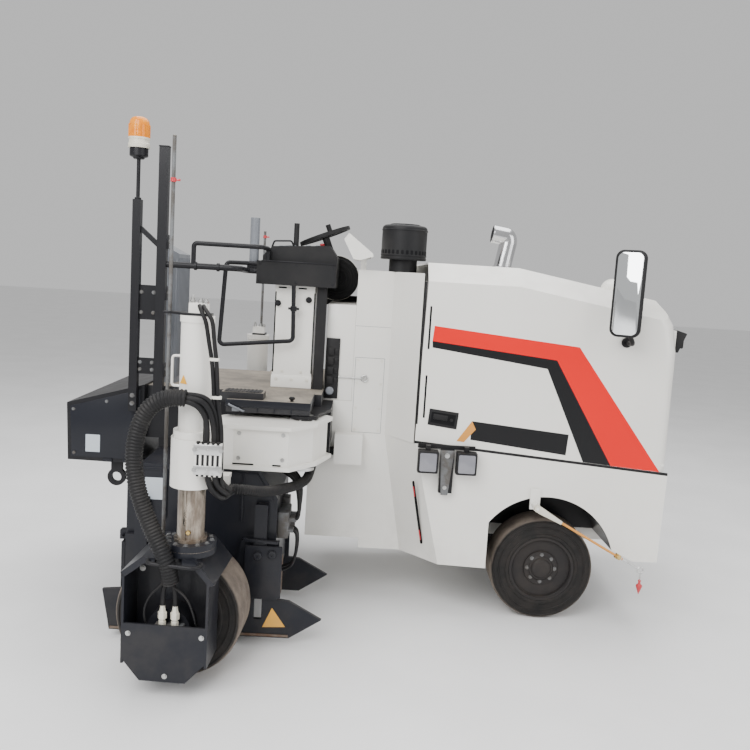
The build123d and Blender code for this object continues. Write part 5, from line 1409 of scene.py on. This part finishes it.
class PLANER_OT_rear_box(Maker, bpy.types.Operator):
    """Door, blank plate and bolts of the box behind the deck"""

    bl_idname = "planer.rear_box"
    bl_label = "Rear box"

    def execute(self, context):
        side = right_face(BOX_FACE)
        door = Solid().slab([(-2.492, 1.062), (-2.142, 1.163), (-2.142, 0.8), (-2.484, 0.804)], 0.0, 0.0028,
                            side, 0.001)
        for x in (-2.3, -2.2):
            door.box((x - 0.024, x + 0.024), (-0.757, -0.75), (0.7835, 0.8), edge=0.002)
        door.piece("rear_box_door", "machine", "black_enamel")
        plate = Solid().slab(rectangle((-2.412, -2.34), (0.831, 0.92), 0.003, 2), 0.0026, 0.004, side, 0.0)
        plate.piece("rear_box_plate", "machine", "pale_plate")
        back = Solid()
        for low in (-0.7, -0.34, 0.02):
            back.box((-2.5095, -2.504), (low, low + 0.3), (0.82, 1.04), edge=0.002)
        back.piece("rear_box_panels", "machine", "black_enamel")
        heads = [((x, -0.7528, z), RIGHT, 0.0065) for x, z in ((-2.476, 1.046), (-2.47, 0.822),
                                                               (-2.16, 1.138), (-2.16, 0.82), (-2.31, 1.094))]
        bolts("rear_box_bolts", "machine", heads, finish="engine_casting")
        return {"FINISHED"}


class PLANER_OT_drum_unit(Maker, bpy.types.Operator):
    """Plates, valve block, hoses, guides and signs of the drum unit"""

    bl_idname = "planer.drum_unit"
    bl_label = "Drum unit"

    def execute(self, context):
        wall = right_face(DRUM_FACE)
        plate = Solid().slab(rectangle((-2.033, -1.926), (0.686, 0.792), 0.004, 2), 0.0, 0.0015, wall, 0.0)
        plate.piece("drum_unit_plate", "machine", "pale_plate")
        cover = Solid().turn([(0, 0), (0.135, 0), (0.135, 0.0025), (0.13, 0.0045), (0, 0.0045)],
                             rightward(-1.755, DRUM_FACE, 0.4), 64)
        for x in (-1.93, -1.57):
            cover.box((x - 0.006, x + 0.006), (-1.0425, DRUM_FACE), (0.6, 0.84), edge=0.0015)
        cover.slab([(-2.1, 0.792), (-2.052, 0.842), (-1.5, 0.842), (-1.416, 0.712), (-1.416, 0.7),
                    (-1.506, 0.83), (-2.046, 0.83), (-2.1, 0.778)], 0.0, 0.005, wall, 0.001)
        cover.piece("drum_unit_ribs", "machine", "black_enamel")
        ring = [(-1.755 + dx, 0.4 + dz) for dx, dz in circle(0.112, 10)]
        bolts("drum_bearing_bolts", "machine", [((x, -1.0395, z), RIGHT, 0.008) for x, z in ring],
              finish="engine_casting", **{"Head height": 0.28, "Washer height": 0.08})
        guide = Solid()
        guide.slab([(-1.539, 0.504), (-1.362, 0.504), (-1.362, 0.25), (-1.39, 0.242), (-1.52, 0.242),
                    (-1.539, 0.26)], 0.0, 0.012, right_face(-1.0815), 0.003)
        guide.slab([(-1.548, 0.54), (-1.385, 0.53), (-1.385, 0.516), (-1.548, 0.526)], 0.0, 0.018,
                   right_face(-1.0815), 0.002)
        for x, z in ((-1.476, 0.459), (-1.41, 0.468)):
            guide.turn([(0, 0), (0.019, 0), (0.019, 0.014), (0.015, 0.018), (0.007, 0.018), (0.007, 0.013),
                        (0, 0.013)], rightward(x, -1.093, z), 28)
        guide.piece("skid_guide", "machine", "black_enamel")
        block = Solid()
        block.box((-1.4002, -1.348), (-0.985, -0.82), (0.51, 0.64), edge=0.004)
        block.box((-1.4002, -1.362), (-0.8, -0.72), (0.56, 0.66), edge=0.004)
        for y in (-0.965, -0.93, -0.895, -0.86):
            block.bar((-1.349, y, 0.6), (-1.312, y, 0.6), 0.0115, steps=6)
            block.bar((-1.349, y, 0.545), (-1.325, y, 0.545), 0.0095, steps=12)
        block.piece("drum_valve_block", "machine", "engine_casting")
        for index, y in enumerate((-0.965, -0.93, -0.895, -0.86)):
            hose(f"drum_line_{index + 1}", [(-1.325, y, 0.6), (-1.307, y, 0.604),
                                            (-1.3 - 0.002 * index, y, 0.64),
                                            (-1.306 + 0.002 * index, y + 0.006, 0.72),
                                            (-1.33 + 0.004 * index, y + 0.03, 0.8), (-1.42, y + 0.06, 0.836),
                                            (-1.49, y + 0.07, 0.8625), (-1.56, y + 0.075, 0.8705)], 0.0092,
                 "machine")
        for index, y in enumerate((-0.955, -0.905)):
            hose(f"drum_drain_{index + 1}", [(-1.33, y, 0.545), (-1.31, y, 0.541), (-1.303, y - 0.012, 0.49),
                                             (-1.309, y - 0.018, 0.41), (-1.334, y - 0.006, 0.352),
                                             (-1.392, y, 0.338)], 0.0078, "machine")
        lip = Solid().box((-1.3998, -1.386), (-0.985, -0.74), (0.15, 0.345), edge=0.002)
        lip.piece("drum_lip", "machine", "worn_steel")
        for side, y, face in (("right", -1.0651, right_face), ("left", -0.4549, left_face)):
            sense = 1 if side == "right" else -1
            corners = [(-1.401, 0.19), (-1.444, 0.091), (-1.334, 0.097)]
            sign = Solid().slab(seen(sense, corners), 0.0, 0.0012, face(y), 0.0)
            sign.piece(side + "_skid_triangle", side + "_side_plate", "amber_plate")
            edge = Solid().slab(seen(sense, ((-2.176, 0.046), (-1.318, 0.046), (-1.318, 0.058),
                                             (-2.176, 0.058))), 0.0, 0.005, face(y), 0.001)
            edge.piece(side + "_skid_wear_bar", side + "_side_plate", "worn_steel")
        lowest = Solid().box((-2.1475, -2.1435), (-1.005, -0.515), (0.075, 0.11), edge=0.001)
        lowest.piece("scraper_edge", "scraper_door", "worn_steel")
        return {"FINISHED"}


class PLANER_OT_guide_pointer(Maker, bpy.types.Operator):
    """White arm, orange rod, clamp, ring, chain and plumb of the guide pointer"""

    bl_idname = "planer.guide_pointer"
    bl_label = "Guide pointer"

    def execute(self, context):
        pivot, ring = Vector((-0.084, -0.726, 0.657)), Vector((0.486, -0.726, 0.356))
        line = plane(pivot, ring - pivot, Vector(UP))
        run = (ring - pivot).length
        arm = Solid().turn([(0.0085, -0.012), (0.017, -0.012), (0.017, 0.0155), (0.0085, 0.0155)], line, 32,
                           closed=True)
        arm.slab([(0.013, -0.019), (0.15, -0.0085), (0.15, 0.0085), (0.013, 0.0175)], -0.012, 0.01, line,
                 0.002)
        arm.piece("pointer_arm", "guide_pointer", "cream_enamel", ("guide_pointer",))
        rod = Solid().bar((0.14, 0, 0), (0.53, 0, 0), 0.0066, line)
        rod.piece("pointer_rod", "guide_pointer", "orange_enamel", ("guide_pointer",))
        steel = Solid().bar((0.525, 0, 0), (run - 0.013, 0, 0), 0.0046, line)
        steel.pipe([(run + dx, dy, 0) for dx, dy in circle(0.015, 28)], 0.0045, line, closed=True)
        steel.bar((0.512, 0, -0.014), (0.512, 0, 0.014), 0.0085, line)
        steel.piece("pointer_end", "guide_pointer", "bright_steel", ("guide_pointer",))
        clamp = Solid().box((0.486, 0.516), (-0.013, 0.013), (-0.011, 0.011), line, 0.003)
        clamp.bar((0.501, 0, 0.01), (0.501, 0, 0.024), 0.0105, line)
        clamp.piece("pointer_clamp", "guide_pointer", "brass", ("guide_pointer",))
        tree = link_tree("bright_steel")
        chain = Repeats.run(tree, route("chain_route", [(0.486, -0.726, 0.339), (0.4865, -0.726, 0.33),
                                                        (0.487, -0.726, 0.318), (0.487, -0.726, 0.304)]),
                            "pointer_chain", Pitch=0.0115, Wire=0.0013)
        settle(chain, "guide_pointer", "bright_steel")
        plumb = Solid().turn([(0, 0.0), (0.0035, 0.01), (0.013, 0.036), (0.0165, 0.048), (0.015, 0.054),
                              (0.0075, 0.059), (0.006, 0.07), (0.0085, 0.076), (0.006, 0.082), (0, 0.083)],
                             upright(0.487, -0.726, 0.222), 32)
        plumb.piece("pointer_plumb", "guide_pointer", "marker_red")
        return {"FINISHED"}


class PLANER_OT_housing_trim(Maker, bpy.types.Operator):
    """Slits with reflectors on the corner panels, panel seams and bolts of the tank housing"""

    bl_idname = "planer.housing_trim"
    bl_label = "Housing trim"

    def execute(self, context):
        slit, glow, seams = Solid(), Solid(), Solid()
        for sense in (1, -1):
            middle = Vector((-0.6965, -0.62 * sense, 0.5675))
            across = Vector((0.16, -0.2 * sense, 0.0)) * sense
            panel = plane(middle, across, (-0.311, 0, 0.951))
            # The slit is a near-black slab: painted shade of the opening.
            slit.slab(rectangle((-0.0065, 0.0065), (-0.184, 0.184), 0.006), -0.003, 0.003, panel, 0.0)
            for z in (-0.13, 0.125):
                glow.slab(rectangle((-0.005, 0.005), (z - 0.03, z + 0.03), 0.004), 0.002, 0.0042, panel, 0.0)
            face = right_face(HOUSING_FACE) if sense == 1 else left_face(-HOUSING_FACE)
            for low, high, bottom, top in ((-1.072, -0.915, 1.3595, 1.3615), (-1.072, -0.915, 0.9495, 0.9515),
                                           (-1.073, -1.071, 0.95, 1.361), (-0.916, -0.914, 0.95, 1.361),
                                           (-1.083, -0.892, 1.5295, 1.5312)):
                seams.slab([(sense * low, bottom), (sense * high, bottom), (sense * high, top),
                            (sense * low, top)], -0.0005, 0.0005, face, 0.0)
            heads = [((x, HOUSING_FACE * sense, z), (0, -sense, 0), 0.0055) for x in (-1.058, -0.93)
                     for z in (0.965, 1.085, 1.22, 1.346)]
            bolts(("right" if sense == 1 else "left") + "_housing_bolts", "machine", heads,
                  finish="white_plastic")
        slit.piece("corner_slits", "machine", "dark_void")
        glow.piece("corner_reflectors", "machine", "marker_red")
        seams.piece("housing_seams", "machine", "grey_enamel")
        return {"FINISHED"}


class PLANER_OT_arch_liners(Maker, bpy.types.Operator):
    """Dark liners inside the front wheel arches"""

    bl_idname = "planer.arch_liners"
    bl_label = "Arch liners"

    def execute(self, context):
        liner = Solid()
        for sense in (1, -1):
            face = right_face(-0.3) if sense == 1 else left_face(0.3)
            outline = [(-0.385, 0.44), (-0.12, 0.44), (-0.12, 0.395), (0.1, 0.395), (0.1, 0.44),
                       (0.345, 0.44), (0.345, 0.6), (0.25, 0.69), (-0.015, 0.7), (-0.25, 0.68), (-0.37, 0.56)]
            liner.slab(seen(sense, outline), 0.0, 0.008, face, 0.0)
        liner.piece("arch_liners", "machine", "frame_enamel")
        return {"FINISHED"}


class PLANER_OT_arm_trim(Maker, bpy.types.Operator):
    """Slots, bolts and pivot cap of the swing arm"""

    bl_idname = "planer.arm_trim"
    bl_label = "Arm trim"

    def execute(self, context):
        dark = Solid()
        front = right_face(ARM_FACE)
        # The slots are near-black slabs: painted shade of the openings.
        for x, z, width in ((-1.56, 0.918, 0.056), (-1.4, 0.918, 0.02)):
            dark.slab(rectangle((x - width, x + width), (z - 0.0035, z + 0.0035), 0.003), -0.001, 0.0008,
                      front, 0.0)
        dark.piece("arm_slots", "swing_arm", "dark_void")
        heads = [((x, ARM_FACE, z), RIGHT, 0.0075) for x in (-1.575, -1.375) for z in (0.945, 1.06)]
        heads += [((-1.3 + dx, -0.95 + dy, 1.1), UP, 0.008) for dx, dy in circle(0.062, 6, 0.3)]
        bolts("arm_bolts", "swing_arm", heads)
        cap = Solid().turn([(0, 1.119), (0.03, 1.119), (0.03, 1.1195), (0.026, 1.1197), (0, 1.1198)],
                           upright(-1.3, -0.95), 32)
        cap.piece("pivot_cap", "machine", "zinc_bolt")
        return {"FINISHED"}


def slat_tree(finish):
    """Flat slats on carrier points, leaning about y."""
    graph = Repeats("louvre_slats_" + finish)
    size = graph.node("ShaderNodeCombineXYZ", None, {"X": graph.size("Depth", 0.022),
                                                     "Y": graph.size("Width", 0.7),
                                                     "Z": graph.size("Thickness", 0.0025)})
    slat = graph.node("GeometryNodeMeshCube", None, {"Size": size})
    lean = graph.node("FunctionNodeAxisAngleToRotation", None, {"Axis": (0.0, 1.0, 0.0),
                                                                "Angle": graph.size("Lean", 0.6)})
    placed = graph.node("GeometryNodeInstanceOnPoints", None, {"Points": graph.carrier(), "Instance": slat,
                                                               "Rotation": lean})
    return graph.close(placed, finish)


class PLANER_OT_grille(Maker, bpy.types.Operator):
    """Leaning slats behind the slots of the hood's nose"""

    bl_idname = "planer.grille"
    bl_label = "Grille"

    def execute(self, context):
        data = bpy.data.meshes.new("grille_rows")
        data.from_pydata([at(0.58, 0.0, 0.985 + 0.0235 * row) for row in range(17)], [], [])
        slats = Repeats.run(slat_tree("frame_enamel"), bpy.data.objects.new("grille_rows", data),
                            "grille_slats", Width=0.62, Depth=0.02)
        settle(slats, "hood", "frame_enamel")
        return {"FINISHED"}


class PLANER_OT_stage(Maker, bpy.types.Operator):
    """Pale floor, soft studio lights and the camera"""

    bl_idname = "planer.stage"
    bl_label = "Stage"

    def execute(self, context):
        scene = context.scene
        chosen = scene.planer_stage
        ground = Finish("studio_floor", {"Specular IOR Level": 0.2})
        mottle = ground.step(ground.noise(1.6, 3.0), 0.3, 0.7)
        ground.wire(Base_Color=ground.mix(mottle, (0.8, 0.8, 0.8), (0.84, 0.84, 0.84)),
                    Roughness=mottle * 0.1 + 0.6)
        data = bpy.data.meshes.new("floor")
        data.from_pydata([(-40, -40, -0.001), (40, -40, -0.001), (40, 40, -0.001), (-40, 40, -0.001)], [],
                         [(0, 1, 2, 3)])
        floor = bpy.data.objects.new("floor", data)
        scene.collection.objects.link(floor)
        floor.data.materials.append(Finish.made["studio_floor"])

        world = bpy.data.worlds.new("studio")
        world.use_nodes = True
        room = Graph(world.node_tree)
        room.tree.nodes.clear()
        light = room.node("ShaderNodeBackground", None, {"Color": (1.0, 1.0, 1.0, 1.0),
                                                         "Strength": chosen.sky})
        room.node("ShaderNodeOutputWorld", None, {"Surface": light})
        scene.world = world

        middle = at(-0.8, -0.4, 0.9)
        for name, place, size, power in (("key_light", (-3.4, -5.2, 4.6), 4.0, chosen.key),
                                         ("fill_light", (4.2, -4.4, 3.0), 4.0, chosen.fill),
                                         ("top_light", (-0.8, 0.6, 6.0), 6.0, chosen.key)):
            lamp = bpy.data.lights.new(name, "AREA")
            lamp.size = size
            lamp.energy = power
            holder = bpy.data.objects.new(name, lamp)
            holder.location = at(*place)
            holder.rotation_euler = (middle - holder.location).to_track_quat("-Z", "Y").to_euler()
            scene.collection.objects.link(holder)

        view = bpy.data.cameras.new("camera")
        view.lens = chosen.lens
        view.sensor_width = 36.0
        camera = bpy.data.objects.new("camera", view)
        yaw, pitch, roll = 0.0190385, 0.1240047, 0.0613923
        forward = Vector((math.sin(yaw) * math.cos(pitch), math.cos(yaw) * math.cos(pitch), -math.sin(pitch)))
        level = Vector((math.cos(yaw), -math.sin(yaw), 0.0))
        upright = level.cross(forward)
        right = math.cos(roll) * level + math.sin(roll) * upright
        up = math.cos(roll) * upright - math.sin(roll) * level
        seat = Matrix((right, up, -forward)).transposed().to_4x4()
        camera.matrix_world = Matrix.Translation(at(-1.04474, -4.7505, 1.80609)) @ seat
        scene.collection.objects.link(camera)
        scene.camera = camera
        return {"FINISHED"}


# Sidebar, registration and the run


class PLANER_PT_dressing(bpy.types.Panel):
    """Sizes, colours and pieces of the planer's dressing"""

    bl_idname = "PLANER_PT_dressing"
    bl_label = "Cold planer"
    bl_space_type = "VIEW_3D"
    bl_region_type = "UI"
    bl_category = "Planer"

    def draw(self, context):
        for group in GROUPS:
            chosen = getattr(context.scene, group)
            for name in chosen.bl_rna.properties.keys():
                if name not in ("rna_type", "name"):
                    self.layout.prop(chosen, name)
        for maker in MAKERS:
            self.layout.operator(maker.bl_idname)


GROUPS = {"planer_colours": PLANER_PG_colours, "planer_sizes": PLANER_PG_sizes,
          "planer_stage": PLANER_PG_stage}
MAKERS = (PLANER_OT_finishes, PLANER_OT_stage, *(maker for maker in Maker.__subclasses__() if maker not
                                                 in (PLANER_OT_finishes, PLANER_OT_stage)))


def register():
    """Add the classes, and the settings to every scene."""
    for kind in (*GROUPS.values(), *MAKERS, PLANER_PT_dressing):
        bpy.utils.register_class(kind)
    for name, group in GROUPS.items():
        setattr(bpy.types.Scene, name, PointerProperty(type=group))


def unregister():
    """Take away what register added."""
    for name in GROUPS:
        delattr(bpy.types.Scene, name)
    for kind in (PLANER_PT_dressing, *reversed(MAKERS), *reversed(GROUPS.values())):
        bpy.utils.unregister_class(kind)


def main():
    """Make every piece."""
    register()
    for maker in MAKERS:
        family, name = maker.bl_idname.split(".")
        getattr(getattr(bpy.ops, family), name)()


if __name__ == "__main__":
    main()
